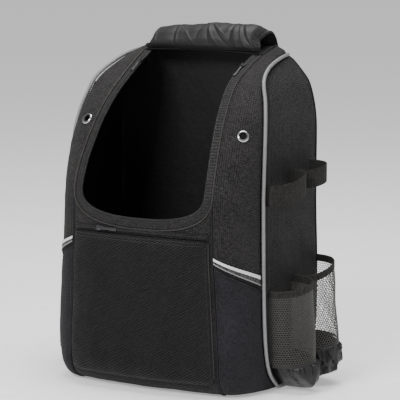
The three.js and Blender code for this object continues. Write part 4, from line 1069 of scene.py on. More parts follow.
def pocket_point(s, t, drop):
    z = mix(POCKET_BOTTOM, POCKET_TOP, t)
    level = level_at(0.5, z)
    edge = (1 - np.minimum(np.abs(s), 1) ** 5) * (1 - np.minimum(np.abs(2 * t - 1), 1) ** 7)
    out = POCKET_OUT * edge ** 0.45
    for x, y, r, deep in POCKET_DENTS:
        out = out - deep * bump(np.hypot((s - x) / r, (t - y) / r)) * edge
    flat = body_point(s * POCKET_HALF_SHARE, level)
    n = body_normal(s * POCKET_HALF_SHARE, level)
    soft = edge ** 0.5 * (1.0 * noise(flat, POCKET_FOLDS) + 0.35 * noise(flat, FINE))
    return warp(flat + n * (SKIN_GAP + 1.5 - drop + out + soft + skin(flat))[..., None]), n


ss, tt = np.meshgrid(to_edges(140), 0.5 + 0.5 * to_edges(120))
outer, _ = pocket_point(ss, tt, 0.0)
inner, _ = pocket_point(ss * 0.988, mix(0.5, tt, 0.988), 1.5)
obj = sheet_object("front_pocket_cloth", outer, inner, [POCKET, INSIDE])
place(obj, "lower_fabric", "front_pocket")
loop_s = np.concatenate([np.full(90, -1.0), np.linspace(-1, 1, 110), np.full(90, 1.0)])
loop_t = np.concatenate([np.linspace(1, 0.012, 90), np.full(110, 0.004), np.linspace(0.012, 1, 90)])
p, n = pocket_point(loop_s * 0.999, loop_t, 0.9)
# The pocket's welt is in the lighter welt cloth, a painted highlight on its ridge
place(tube("front_pocket_welt", soften(p, 3), n, 1.35, LIT_WELT, 10), "lower_fabric")
p, n = pocket_point(loop_s * 0.975, np.clip(loop_t, 0.02, 0.98), -0.1)
stitch(soften(p, 3), n)
for t in (0.985, 0.965):
    p, n = pocket_point(np.linspace(-0.97, 0.97, 120), np.full(120, t), -0.1)
    stitch(p, n)

# Zip tape above the pocket with its coil and slider
zs = POCKET_TOP + 0.6 + np.linspace(0, POCKET_TAPE, 9)
ss = np.linspace(-1, 1, 100)
level = level_at(0.5, zs)[:, None] + 0 * ss[None]
ridge = 1.4 + 0.25 * np.exp(-((zs - zs.mean()) / 1.6) ** 2)
top, _ = on_body(ss[None] * POCKET_HALF_SHARE + 0 * level, level, SKIN_GAP + ridge[:, None] + 0 * level)
low, _ = on_body(ss[None] * POCKET_HALF_SHARE + 0 * level, level, SKIN_GAP + 0 * level)
obj = sheet_object("pocket_zip_tape", top, low, [TAPE])
place(obj, "zip_tape", "pocket_tape")
line, n = on_body(ss * POCKET_HALF_SHARE, np.full(100, float(level_at(0.5, zs.mean()))), SKIN_GAP + 1.55)
coil = zip_coil("pocket_zip_coil", line, n, UPWARD)
place(coil, "zip_tape")


# Rounded-rectangle loft: stations of centre, half width and half height
def loft(name, centres, across, out, halves, materials, corner=0.45):
    across = np.broadcast_to(across, centres.shape)
    out = np.broadcast_to(out, centres.shape)
    sections = []
    for c, a, o, (hw, hh) in zip(centres, across, out, halves):
        r = corner * min(hw, hh)
        corners = rounded_corners(hw - r, r - hh, hh - r, r, 4)
        sections.append([c + a * x + o * y for x, y in corners])
    return sweep_object(name, np.array(sections), materials)


# Several objects made into one piece
def join(name, objs):
    bpy.ops.object.select_all(action="DESELECT")
    for o in objs:
        o.select_set(True)
    bpy.context.view_layer.objects.active = objs[0]
    bpy.ops.object.join()
    objs[0].name = name
    objs[0].data.name = name
    return objs[0]


# Zip slider: two plates, a waist, an arched bridge, and a moulded pull on a wire ring
def zip_slider(name, at, n, down):
    across = unit(np.cross(down, n))
    y = np.array([0.0, 1.2, 3.0, 5.2, 7.6, 9.4, 10.0])
    wide = np.array([3.0, 3.9, 4.0, 3.7, 3.1, 2.6, 2.1])
    parts = []
    for lift, thick in ((0.35, 0.35), (2.0, 0.35)):
        centres = at + down * y[:, None] + n * lift
        halves = [(w, thick) for w in wide]
        parts.append(loft(f"{name}_plate", centres, across, n, halves, [METAL]))
    centres = at + down * np.array([[2.0], [3.5], [5.0]]) + n * 1.2
    parts.append(loft(f"{name}_waist", centres, across, n, [(1.1, 0.6)] * 3, [METAL]))
    w = np.linspace(0, math.pi, 13)
    arch = at + down * (5.0 - 3.6 * np.cos(w))[:, None] + n * (2.2 + 1.7 * np.sin(w))[:, None]
    _, an, ab = path_frames(arch, across)
    parts.append(loft(f"{name}_bridge", arch, an, ab, [(0.9, 0.4)] * 13, [METAL]))
    w = np.linspace(0, TAU, 25)
    ring = at + down * (10.0 + 2.6 * np.cos(w))[:, None] + across * (2.2 * np.sin(w))[:, None] + n * 2.7
    parts.append(tube(f"{name}_ring", ring, n, 0.5, METAL, 8))
    y = np.array([11.0, 12.0, 14.0, 18.0, 24.0, 30.0, 34.0, 35.6, 36.0])
    wide = np.array([1.2, 1.9, 2.2, 2.0, 2.1, 2.5, 2.5, 2.1, 1.4])
    thick = np.array([0.5, 0.8, 0.9, 0.8, 0.8, 0.9, 0.9, 0.8, 0.5])
    centres = at + down * y[:, None] + n * (2.3 - 1.0 * smooth((y - 12) / 16))[:, None]
    pull = loft(f"{name}_pull", centres, across, n, list(zip(wide, thick)), [PLASTIC], corner=0.9)
    obj = join(f"{name}_body", parts)
    return obj, pull


slider_u = -0.62
slider_level = float(level_at(0.5, POCKET_TOP + 0.6 + POCKET_TAPE / 2 + 2))
at, n = on_body(slider_u, slider_level, SKIN_GAP + 1.4 + 0.5)
down = np.array([0.99, -0.14, -0.02])
down = unit(down - n * float(down @ n))
obj, pull = zip_slider("pocket_slider", at, n, down)
place(obj, "dark_metal", "pocket_slider")
place(pull, "buckle_plastic")
for side in (-1, 1):
    i = 14 if side > 0 else len(band_p) - 15
    step = 10 if side > 0 else -10
    along = unit(band_p[i + step] - band_p[i])
    n = unit(band_n[i] - along * float(band_n[i] @ along))
    at = band_place(band_wide - 2.6, 0.2)[i]
    obj, pull = zip_slider(f"main_slider_{side_name(side)}", at, n, along)
    place(obj, "dark_metal", f"main_slider_{side_name(side)}")
    place(pull, "buckle_plastic")


# Sleeves of net with elastic bindings, and the elastic loops above them
# Point on a sleeve's or loop's bowed wall: turn goes from its front end, 0, to its rear end, 1
def box_side(side, mid, half, out, turn, z):
    a = np.clip(turn, 0, 1) * math.pi
    y = mid - half * np.cos(a)
    bow = np.sin(a) ** 0.86
    y, z = np.broadcast_arrays(y, np.asarray(z, float))
    x = side_x(side, y, z) + side * (SKIN_GAP + out * bow)
    return np.stack([x, y, z], -1)


def boot_top(y):
    return mix(BOOT_TOP_FRONT, BOOT_TOP_BACK, np.clip((y + 0.436 * HALF_DEPTH) / (1.38 * HALF_DEPTH), 0, 1))


# Share of the drop that is left at a turn: all of it at the front end, none at the rear
def slant(turn):
    return (0.5 + 0.5 * np.cos(np.clip(turn, 0, 1) * math.pi)) ** 1.6


def sleeve_out(out, out_top, top, z):
    return mix(out, out_top, np.clip((z - BOOT_TOP_BACK) / (top - BOOT_TOP_BACK), 0, 1))


NET_PITCH = 3.8
NET_STRAND = 0.72
NET_THICK = 0.6
SAG = noise_set(61, 7, 70.0, 30.0)


# One layer of six-sided meshes, thickened; to_space turns flat places (along, up) into points
def net_object(name, to_space, long, tall):
    radius = NET_PITCH / math.sqrt(3)
    hole = radius - NET_STRAND / math.sqrt(3)
    angles = np.radians(30 + 60 * np.arange(6))
    corner = np.stack([np.cos(angles), np.sin(angles)], -1)
    points, faces = [], []
    rows = int(tall / (NET_PITCH * SIN_60)) + 2
    cols = int(long / NET_PITCH) + 2
    for r in range(rows):
        for c in range(cols):
            middle = np.array([(c + 0.5 * (r % 2)) * NET_PITCH, r * NET_PITCH * SIN_60])
            base = len(points)
            points.extend(middle + corner * radius)
            points.extend(middle + corner * hole)
            for i in range(6):
                j = (i + 1) % 6
                faces.append((base + i, base + j, base + 6 + j, base + 6 + i))
    flat = np.clip(np.array(points), [0, 0], [long, tall])
    obj = make_object(name, to_space(flat[:, 0], flat[:, 1]), faces, [NET], None, flat, smooth_faces=False)
    bm = bmesh.new()
    bm.from_mesh(obj.data)
    bmesh.ops.remove_doubles(bm, verts=bm.verts[:], dist=0.00005)
    bmesh.ops.dissolve_degenerate(bm, dist=0.00003, edges=bm.edges[:])
    bmesh.ops.recalc_face_normals(bm, faces=bm.faces[:])
    bm.to_mesh(obj.data)
    bm.free()
    thick = obj.modifiers.new("thick", "SOLIDIFY")
    thick.thickness = NET_THICK * MM
    thick.offset = 0.0
    depsgraph = bpy.context.evaluated_depsgraph_get()
    mesh = bpy.data.meshes.new_from_object(obj.evaluated_get(depsgraph))
    obj.modifiers.clear()
    obj.data = mesh
    return obj


def horizontal_out(p, side):
    t = unit(np.gradient(p, axis=0))
    out = unit(np.cross(t, UPWARD))
    sign = np.sign(side * out[:, 0].sum())
    return out * (sign if sign != 0 else 1.0)


for i, (side, mid, half, out, out_top, top, drop) in enumerate(SLEEVES):
    word = i + 1
    turn = np.linspace(0, 1, 400)
    high = top - drop * slant(turn) - BINDING_TALL + 1.0
    arc = box_side(side, mid, half, (out + out_top) / 2, turn, 110.0)
    d = way_along(arc)
    low = boot_top(mid - half * np.cos(turn * math.pi)) + 0.6
    tall = float((high - low).mean())

    def to_space(a, b):
        w = np.interp(a, d, turn)
        z = mix(np.interp(w, turn, low), np.interp(w, turn, high), b / tall)
        p = box_side(side, mid, half - 0.7, sleeve_out(out, out_top, top, z) - 0.7, w, z)
        free = np.sin(np.clip(w, 0, 1) * math.pi) ** 0.5 * np.sin(np.clip(b / tall, 0, 1) * math.pi)
        p[:, 0] += side * free * (0.9 * noise(p, SAG) - 1.2 * bump((b / tall - 0.5) / 0.6))
        return warp(p)

    net = net_object(f"sleeve_{word}_net", to_space, float(d[-1]), tall)
    place(net, "net", f"sleeve_{word}")
    turn = np.linspace(0.004, 0.996, 190)
    z = top - drop * slant(turn) - BINDING_TALL / 2
    ripple = 0.35 * np.sin(turn * TAU * 16) * np.sin(turn * math.pi)
    p = box_side(side, mid, half - 1.7, sleeve_out(out, out_top, top, z) - 1.7, turn, z)
    normal = horizontal_out(p, side)
    p = warp(p + normal * ripple[:, None])
    obj = swept_band(f"binding_{word}_elastic", p, UPWARD, normal, BINDING_TALL / 2, 2.2, [ELASTIC],
                     corner=0.42)
    place(obj, "elastic", f"binding_{word}")
    for dz in (-3.9, 3.9):
        stitch(p + UPWARD * dz + normal * 2.2, normal)
    # Narrow hem where the net meets the boot
    y = mid - (half - 0.7) * np.cos(turn * math.pi)
    foot_z = boot_top(y) + 1.8
    p = warp(box_side(side, mid, half - 0.4, sleeve_out(out, out_top, top, foot_z) - 0.4, turn, foot_z))
    normal = horizontal_out(p, side)
    obj = swept_band(f"sleeve_{word}_hem", p - normal * 0.6, UPWARD, normal, 2.0, 1.3, [BOOT], corner=0.5)
    place(obj, "boot_nylon")

counts = {-1: 0, 1: 0}
for side, mid, half, out, low, tall, drop in LOOPS:
    counts[side] += 1
    word = f"{side_name(side)}_{counts[side]}"
    turn = np.linspace(0.004, 0.996, 170)
    z = low + tall / 2 - drop * slant(turn)
    p = box_side(side, mid, half - 1.8, out - 1.8, turn, z)
    normal = horizontal_out(p, side)
    p = warp(p + normal * (0.5 * np.sin(turn * TAU * 1.5 + mid) * np.sin(turn * math.pi))[:, None])
    obj = swept_band(f"bat_loop_{word}_elastic", p, UPWARD, normal, tall / 2, 1.8, [ELASTIC], corner=0.4)
    place(obj, "elastic", f"bat_loop_{word}")
    for k in (7, 10, -11, -8):
        zs = np.linspace(1.5 - tall / 2, tall / 2 - 1.5, 10)
        line = p[k] + zs[:, None] * UPWARD + normal[k] * 1.85
        stitch(line, normal[k])

# Gathered boots under the sleeves
# Soft folds; columns: place along, share of the way down, width, height
BOOT_FOLDS = [
    (0.20, 0.55, 0.10, 2.6),
    (0.48, 0.40, 0.07, -3.0),
    (0.70, 0.60, 0.09, 3.4),
    (0.88, 0.35, 0.08, -2.4),
]
# Sharp folds; columns: place along both sleeves, 0 to 2, and share of the way down, at each end;
# width; height
BOOT_SHARP = [
    (0.05, 0.00, 0.10, 0.70, 2.2, 3.4),
    (0.14, 0.02, 0.24, 0.60, 2.0, -4.9),
    (0.22, 0.02, 0.33, 0.65, 2.5, 4.9),
    (0.08, 0.92, 0.62, 0.38, 3.2, 6.1),
    (0.30, 0.95, 0.80, 0.55, 3.0, 4.2),
    (0.38, 0.00, 0.36, 0.38, 1.8, 3.4),
    (0.46, 0.00, 0.45, 0.46, 1.8, 3.8),
    (0.55, 0.00, 0.57, 0.42, 1.8, 3.6),
    (0.65, 0.00, 0.65, 0.50, 1.9, 4.0),
    (0.75, 0.00, 0.72, 0.40, 1.8, 3.2),
    (0.87, 0.00, 0.78, 0.85, 2.2, -4.9),
    (0.93, 0.06, 0.90, 0.70, 2.2, 4.2),
    (1.06, 0.00, 1.36, 0.85, 2.5, -4.6),
    (1.16, 0.00, 1.50, 0.80, 2.8, 5.3),
    (1.30, 0.00, 1.62, 0.75, 2.2, -4.2),
    (1.42, 0.00, 1.74, 0.70, 2.5, 4.6),
    (1.56, 0.00, 1.82, 0.60, 2.0, 3.4),
    (1.70, 0.00, 1.88, 0.50, 1.9, -3.0),
    (1.20, 0.95, 1.70, 0.62, 3.0, 3.8),
    (0.12, 0.50, 0.34, 0.95, 2.2, 4.6),
    (0.22, 0.46, 0.52, 0.92, 2.4, -4.4),
    (0.40, 0.50, 0.70, 0.86, 2.2, 4.4),
    (0.60, 0.56, 0.86, 0.70, 2.2, -3.8),
    (0.17, 0.30, 0.19, 0.78, 1.8, 3.6),
    (0.48, 0.92, 0.94, 0.66, 2.4, 3.4),
    (1.10, 0.40, 1.30, 0.92, 2.4, 4.2),
    (1.24, 0.30, 1.46, 0.95, 2.2, -4.4),
    (1.40, 0.40, 1.66, 0.85, 2.2, 3.8),
]
BOOT_LONG = 118.0
BOOT_TALL = 70.0
BOOT_CREASES = np.array(BOOT_SHARP) * np.array([BOOT_LONG, BOOT_TALL, BOOT_LONG, BOOT_TALL, 1, 1.12])
BOOT_THICK = 1.5
BOOT_RISE = 30.0
BOOT_ROUGH = noise_set(71, 10, 42.0, 14.0)
pipe_levels = np.linspace(0, LAST, 600)
pipe_z = body_point(np.full(600, 2.0), pipe_levels)[:, 2]
pipe_y = row_at(BODY_MM, pipe_levels)[:, 4]


def boot_points(side, s, t, inward):
    lobes = [r for r in SLEEVES if r[0] == side]
    first = s <= 1
    turn = np.where(first, s, s - 1)
    a = turn * math.pi
    mid = np.where(first, lobes[0][1], lobes[1][1])
    half = np.where(first, lobes[0][2], lobes[1][2])
    out = np.where(first, lobes[0][3], lobes[1][3])
    sine = np.maximum(np.sin(a), 0)
    inner = (first & (turn > 0.5)) | (~first & (turn < 0.5))
    bow = np.where(inner, np.maximum(sine ** 0.86, 0.42), sine ** 0.86)
    profile = row_at(BOOT_PROFILE, t * (len(BOOT_PROFILE) - 1))
    down, share = profile[..., 0], profile[..., 1]
    y = mid - (half - inward) * np.cos(a) * (0.25 + 0.75 * np.minimum(share + 0.12, 1.02))
    top = boot_top(mid - half * np.cos(a))
    foot = BOOT_FLOOR + inward + BOOT_RISE * np.clip((y - 6) / 94, 0, 1) ** 1.7
    z = mix(top, foot, down)
    clear = np.interp(np.maximum(z, 1), pipe_z, pipe_y) + 2 * PIPING_R + 2.4 + inward
    out2 = (out - inward - 3.0 * np.clip((y - 50) / 50, 0, 1)) * bow * share
    fade = np.sin(math.pi * np.clip(1.25 * t, 0, 1)) * sine ** 0.5
    relief = 1.6 * np.sin(TAU * 7 * turn) * fade
    near_top = np.exp(-t / 0.22) * (1 - np.exp(-t / 0.03))
    relief += 1.5 * np.sin(TAU * 23 * turn + 2.0 * np.sin(9 * turn)) * near_top * sine ** 0.5
    for fy, ft, fw, high in BOOT_FOLDS:
        relief += high * bump((s / 2 - fy + 0.25 * (t - ft)) / fw) * bump((t - ft) / 0.42) * sine ** 0.4
    low_fade = np.clip((z - 3) / 10, 0, 1)
    relief += crease_field(s * BOOT_LONG, t * BOOT_TALL, BOOT_CREASES) * sine ** 0.3 * low_fade
    probe = np.stack([side * (HALF_WIDTH + out2), y, z], -1)
    rough = noise(probe, BOOT_ROUGH)
    relief += (1.1 * (0.6 - np.abs(rough)) + 0.3 * rough) * sine ** 0.5 * np.clip(4 * t, 0, 1) * low_fade
    out2 += relief * np.maximum(sine, 0.25)
    y = y - np.cos(a) * relief * 0.9
    y_in = np.maximum(y, clear + np.clip(2.5 - 0.8 * relief, 0, 6) * low_fade)
    out2 = np.maximum(out2, (2 * PIPING_R + 1.8) * np.clip((14 - z) / 6, 0, 1))
    x = side_x(side, y_in, np.maximum(z, 6)) + side * (SKIN_GAP + np.maximum(out2, 0))
    return np.stack([x, y_in, z], -1)


for side in (-1, 1):
    word = side_name(side)
    s1 = np.linspace(0, 1, 150)
    ss, tt = np.meshgrid(np.concatenate([s1, 1.0001 + s1 * 0.9999]), np.linspace(0, 1, 84))
    outer = boot_points(side, ss, tt, 0.0)
    inner = boot_points(side, ss, tt, BOOT_THICK)
    obj = sheet_object(f"boot_{word}_cloth", warp(outer), warp(inner), [BOOT, INSIDE])
    place(obj, "boot_nylon", f"boot_{word}")


# Flap thrown back over the top
# Soft folds; columns: place across, slant, width, height
FLAP_FOLDS = [
    (-0.62, 0.10, 0.07, 2.6),
    (-0.30, -0.20, 0.06, -2.0),
    (0.08, 0.30, 0.08, 3.0),
    (0.42, 0.25, 0.06, -2.2),
    (0.74, -0.15, 0.07, 2.0),
]
# Sharp creases; columns: x share and t at one end, x share and t at the other, width, height
FLAP_CREASES = [
    (-0.50, 0.34, -0.48, 0.05, 1.2, -2.6),
    (-0.45, 0.34, -0.44, 0.07, 1.0, 1.6),
    (-0.90, 0.32, -0.86, 0.04, 1.3, -2.2),
    (-0.83, 0.32, -0.82, 0.06, 1.0, 1.4),
    (-0.02, 0.33, -0.10, 0.14, 1.1, -2.4),
    (0.00, 0.33, 0.30, 0.06, 1.2, 3.2),
    (0.03, 0.33, 0.14, 0.08, 1.1, -2.6),
    (0.07, 0.31, 0.42, 0.17, 1.1, 2.6),
    (0.10, 0.30, 0.50, 0.05, 1.2, -2.8),
    (0.50, 0.33, 0.40, 0.16, 1.1, 2.2),
    (0.50, 0.34, 0.49, 0.08, 1.1, -3.0),
    (0.53, 0.33, 0.62, 0.03, 1.2, 3.4),
    (0.56, 0.32, 0.70, 0.14, 1.1, -2.8),
    (0.58, 0.32, 0.80, 0.03, 1.2, 3.2),
    (0.64, 0.30, 0.92, 0.04, 1.2, -3.0),
    (0.70, 0.29, 0.90, 0.13, 1.1, 2.4),
    (0.86, 0.31, 0.84, 0.10, 1.2, -2.2),
    (-0.30, 0.22, -0.10, 0.07, 1.2, 1.6),
    (-0.70, 0.42, 0.10, 0.50, 2.4, 2.0),
    (0.15, 0.45, 0.80, 0.60, 2.4, 2.2),
    (-0.50, 0.62, 0.30, 0.78, 2.4, 1.8),
    (0.35, 0.70, 0.75, 0.90, 2.4, 1.6),
    (-0.80, 0.55, -0.45, 0.85, 2.4, 1.6),
]
rng = np.random.default_rng(81)
for _ in range(30):
    x0 = rng.uniform(-0.95, 0.95)
    t0 = rng.uniform(0.36, 0.9)
    x1 = x0 + rng.uniform(-0.3, 0.3)
    t1 = t0 + rng.uniform(-0.12, 0.12)
    FLAP_CREASES.append((x0, t0, x1, t1, rng.uniform(1.4, 2.2), rng.uniform(0.5, 1.3) * rng.choice([-1, 1])))
FLAP_LONG = 330.0
FLAP_CREASES_MM = np.array(FLAP_CREASES) * np.array([FLAP_HALF, FLAP_LONG, FLAP_HALF, FLAP_LONG, 1, 1])
FLAP_THICK = 1.6
FLAP_MOUTH = 0.07
FLAP_CURL = 15.0
FLAP_SOFT = noise_set(83, 8, 60.0, 22.0)


def flap_point(s, t, drop):
    last = len(FLAP_PATH) - 1
    c = row_at(FLAP_PATH, t * last)
    c0 = row_at(FLAP_PATH, np.maximum(t - 0.01, 0) * last)
    c1 = row_at(FLAP_PATH, np.minimum(t + 0.01, 1) * last)
    run = c1 - c0
    size = np.linalg.norm(run, axis=-1)
    ny = -run[..., 1] / size
    nz = run[..., 0] / size
    lift = np.interp(s, FLAP_RIDGE[:, 0], FLAP_RIDGE[:, 1]) * bump((t - 0.3) / 0.32)
    end = np.clip((t - 0.80) / 0.20, 0, 1)
    narrow = 1 - (1 - np.sqrt(np.maximum(1 - end * end, 0))) * (FLAP_CORNER / FLAP_HALF)
    fold = np.zeros(np.shape(s))
    for fx, slant, wide, high in FLAP_FOLDS:
        fold = fold + high * bump((s - fx - slant * (t - 0.35)) / (wide * 2)) * bump((t - 0.42) / 0.45)
    calm = 1 - 0.75 * bump((t - 0.31) / 0.14)
    front = smooth((t - 0.30) / 0.10)
    fold = fold * mix(0.30, 1.0, front)
    px, pt = s * FLAP_HALF, t * FLAP_LONG
    free = smooth(t / 0.08) * smooth((1 - np.abs(s)) / 0.12 + 0.25)
    fold = fold + free * mix(1.0, calm, 0.8) * crease_field(px, pt, FLAP_CREASES_MM)
    probe = np.stack([px, pt, 0 * pt], -1)
    fold = fold + free * mix(0.18, 0.7, front) * noise(probe, FLAP_SOFT)
    curl = FLAP_CURL * np.clip((np.abs(s) - 0.84) / 0.16, 0, 1) ** 1.6 * bump((t - 0.24) / 0.24)
    out = fold - drop - curl
    narrow = narrow * (1 - FLAP_MOUTH * bump((t - 0.20) / 0.16) * np.clip(s, 0, 1) ** 4)
    return np.stack([s * FLAP_HALF * narrow, c[..., 0] + ny * out, c[..., 1] + nz * out + lift], -1)


FLAP_ROWS = np.concatenate([np.linspace(0, 0.4, 150)[:-1], np.linspace(0.4, 1, 71)])
ss, tt = np.meshgrid(np.linspace(-1, 1, 200), FLAP_ROWS)
outer = flap_point(ss, tt, 0.0)
inner = flap_point(ss, tt, FLAP_THICK)
flap = sheet_object("flap_cloth", outer, inner, [LINING, UPPER, TAPE])
near_edge = np.zeros((len(FLAP_ROWS) - 1, 199), dtype=bool)
near_edge[:, :10] = True
near_edge[:, -10:] = True
near_edge[-3:, :] = True
near_edge[:8, :] = False
marks = np.array([p.material_index for p in flap.data.polygons])
count = near_edge.size
marks[:count][near_edge.ravel()] = 2
marks[count:2 * count][near_edge.ravel()] = 2
flap.data.polygons.foreach_set("material_index", marks.astype(np.int32))
place(flap, "lining_nylon", "flap")


def flap_line(inset, drop):
    k = 1 - inset / FLAP_HALF
    t = np.linspace(0.05, 1 - inset / FLAP_LONG, 260)
    s = np.linspace(1, -1, 120)[1:-1]
    ls = np.concatenate([np.full(260, k), s * k, np.full(260, -k)])
    lt = np.concatenate([t, np.full(118, t[-1]), t[::-1]])
    p = flap_point(ls, lt, drop)
    q = flap_point(ls, lt, drop - 1.0)
    return p, unit(q - p)


p, n = flap_line(1.2, -0.2)
toward = np.cross(n, unit(np.gradient(p, axis=0)))
coil = zip_coil("flap_zip_coil", p, n, unit(toward))
place(coil, "zip_tape")
for inset in (5.5, 12.5):
    p, n = flap_line(inset, -0.05)
    stitch(p, n)
p, n = flap_line(-0.2, 0.8)
place(tube("flap_edge_cord", soften(p, 2), n, 1.0, TAPE, 8), "zip_tape")

# Padded back with sewn channels
ss, tt = np.meshgrid(to_edges(80), 0.5 + 0.5 * to_edges(150))
edge = (1 - np.abs(ss) ** 6) * (1 - np.abs(2 * tt - 1) ** 10)
groove = np.zeros(ss.shape)
PAD_LINES = [0.22, 0.41, 0.60, 0.79]
for line in PAD_LINES:
    groove = np.maximum(groove, np.exp(-np.abs((tt - line) * BACK_PAD_TALL - 5 * np.abs(ss)) / 4.5))
groove = np.maximum(groove, np.exp(-np.abs(ss * BACK_PAD_HALF) / 4.5))
thick = 1.2 + (BACK_PAD_THICK - 1.2) * np.maximum(edge, 0) ** 0.5
thick = thick * (1 - 0.55 * groove)
z = mix(BACK_PAD_LOW, BACK_PAD_HIGH, tt)
outer = np.stack([ss * BACK_PAD_HALF, HALF_DEPTH + SKIN_GAP + thick, z], -1)
inner = np.stack([ss * BACK_PAD_HALF, HALF_DEPTH + SKIN_GAP + 0 * thick, z], -1)
obj = sheet_object("back_pad_foam", warp(outer), warp(inner), [PAD, LOWER])
place(obj, "pad_fabric", "back_pad")
w = np.linspace(0, TAU, 300)
round_x = np.sign(np.cos(w)) * np.abs(np.cos(w)) ** 0.18 * (BACK_PAD_HALF - 0.4)
swing_z = np.sign(np.sin(w)) * np.abs(np.sin(w)) ** 0.18
round_z = (BACK_PAD_LOW + BACK_PAD_HIGH) / 2 + swing_z * (BACK_PAD_TALL / 2 - 0.4)
line = warp(np.stack([round_x, np.full(300, HALF_DEPTH + SKIN_GAP + 1.5), round_z], -1))
place(tube("back_pad_welt", line, BACKWARD, 1.5, LOWER, 8), "lower_fabric")
for line in PAD_LINES:
    xs = np.linspace(-66, 66, 60)
    zs = BACK_PAD_LOW + BACK_PAD_TALL * line + 5 * np.abs(xs) / BACK_PAD_HALF
    p = np.stack([xs, np.full(60, HALF_DEPTH + SKIN_GAP + 3.9), zs], -1)
    stitch(warp(p), BACKWARD)


# Shoulder straps
def strap_at(t):
    return row_at(STRAP, t * (len(STRAP) - 1))


def strap_point(side, s, t, outer_face, extra=0.0):
    f = strap_at(t)
    g = strap_at(np.maximum(t - 0.01, 0))
    h = strap_at(np.minimum(t + 0.01, 1))
    run_off = h[..., 3] - g[..., 3]
    run_z = h[..., 0] - g[..., 0]
    size = np.hypot(run_off, run_z)
    ny = -run_z / size
    nz = run_off / size
    soft = 1 - np.abs(s) ** 4 * 0.55
    ends = 1 - 0.6 * np.abs(2 * t - 1) ** 14
    channel = 1 - 0.22 * np.exp(-np.abs(np.abs(s) - 0.62) / 0.05)
    out = (STRAP_THICK * soft * ends * channel if outer_face else 0.0) + extra
    x = side * (f[..., 1] + s * f[..., 2])
    return np.stack([x, HALF_DEPTH + f[..., 3] + ny * out, f[..., 0] + nz * out], -1)


for side in (-1, 1):
    word = side_name(side)
    ss, tt = np.meshgrid(to_edges(50), np.linspace(0, 1, 180))
    probe = np.stack([ss * 30, tt * 380, 0 * tt + side * 50], -1)
    ripple = 0.35 * noise(probe, FINE) * np.sin(math.pi * tt) ** 0.3
    outer = strap_point(side, ss, tt, True, ripple)
    inner = strap_point(side, ss, tt, False)
    obj = sheet_object(f"shoulder_strap_{word}_foam", outer, inner, [STRAP_CLOTH, PAD])
    place(obj, "pad_fabric", f"shoulder_strap_{word}")
    t = np.linspace(0.004, 0.996, 200)
    for k in (-1, 1):
        q = strap_point(side, k * 0.995, t, True)
        p = (q + strap_point(side, k * 0.995, t, False)) / 2
        edge = swept_band(f"strap_{word}_edge_{'out' if k > 0 else 'in'}", p, unit(q - p), side * k * ACROSS,
                          2.9, 1.3, [WEBBING], corner=0.5)
        place(edge, "webbing")
        p = strap_point(side, k * 0.62, t, True, 0.05)
        q = strap_point(side, k * 0.62, t, True, 1.05)
        stitch(p, unit(q - p))
        p = strap_point(side, k * 0.93, t, True, 0.15)
        stitch(p, unit(q - p))
    foot = STRAP[-1]
    lock_top = foot[0] - 3
    lock_y = HALF_DEPTH + foot[3] + 1.5
    x0 = side * foot[1]
    # Adjuster: two side rails and three bars, softly rounded
    parts = []
    for k in (-1, 1):
        zs = np.linspace(0, LOCK_TALL, 12)
        half = 2.35 + 0.5 * np.abs(2 * zs / LOCK_TALL - 1) ** 3
        xs = np.full(12, x0 + k * (LOCK_HALF - 0.05))
        centres = np.stack([xs, np.full(12, lock_y + LOCK_OUT), lock_top - zs], -1)
        halves = [(h, 2.45) for h in half]
        parts.append(loft("rail", centres, ACROSS, BACKWARD, halves, [PLASTIC], corner=0.7))
    for drop, tall, deep in ((2.1, 2.05, 2.4), (11.0, 2.15, 2.1), (19.9, 2.05, 2.4)):
        xs = np.linspace(-LOCK_HALF, LOCK_HALF, 16)
        ys = lock_y + LOCK_OUT + 0.25 * (1 - (xs / LOCK_HALF) ** 2)
        centres = np.stack([x0 + xs, ys, np.full(16, lock_top - drop)], -1)
        parts.append(loft("bar", centres, UPWARD, BACKWARD, [(tall, deep)] * 16, [PLASTIC], corner=0.8))
    obj = join(f"ladder_lock_{word}_frame", parts)
    place(obj, "buckle_plastic", f"ladder_lock_{word}")
    anchor = 148.0
    slot_z = lock_top - 6.5
    lock_back = lock_y + 2 * LOCK_OUT
    web = np.array([
        [anchor, HALF_DEPTH + 1.2, 40],
        [anchor - 2, HALF_DEPTH + 3.5, 52],
        [mix(anchor, foot[1], 0.55), HALF_DEPTH + 16, 80],
        [foot[1] + 4, lock_y - 3.4, lock_top - 23],
        [foot[1], lock_y - 2.2, slot_z - 5],
        [foot[1], lock_y - 1.3, slot_z],
        [foot[1], lock_back + 1.3, slot_z],
        [foot[1], lock_back + 2.2, slot_z - 5],
        [foot[1] - 1, lock_back + 4.5, lock_top - 26],
        [foot[1] - 4, lock_back + 5.5, lock_top - 62],
    ]) * np.array([side, 1, 1])
    dense = row_at(web, np.linspace(0, len(web) - 1, 220))
    t = unit(np.gradient(dense, axis=0))
    across = unit(ACROSS - t * t[:, 0:1])
    normal = np.cross(t, across)
    obj = swept_band(f"strap_webbing_{word}_band", dense - normal * WEB_THICK / 2, across, normal, WEB_HALF,
                     WEB_THICK, [WEBBING], corner=0.42)
    place(obj, "webbing", f"strap_webbing_{word}")
    for k in (-9.5, 9.5):
        stitch(dense[:14] + across[:14] * k + normal[:14] * 0.85, normal[:14])
        stitch(dense[-12:] + across[-12:] * k + normal[-12:] * 0.85, normal[-12:])
    for j in (2, 10, -3, -10):
        xs = np.linspace(-9.5, 9.5, 9)
        stitch(dense[j] + xs[:, None] * across[j] + normal[j] * 0.85, normal[j])

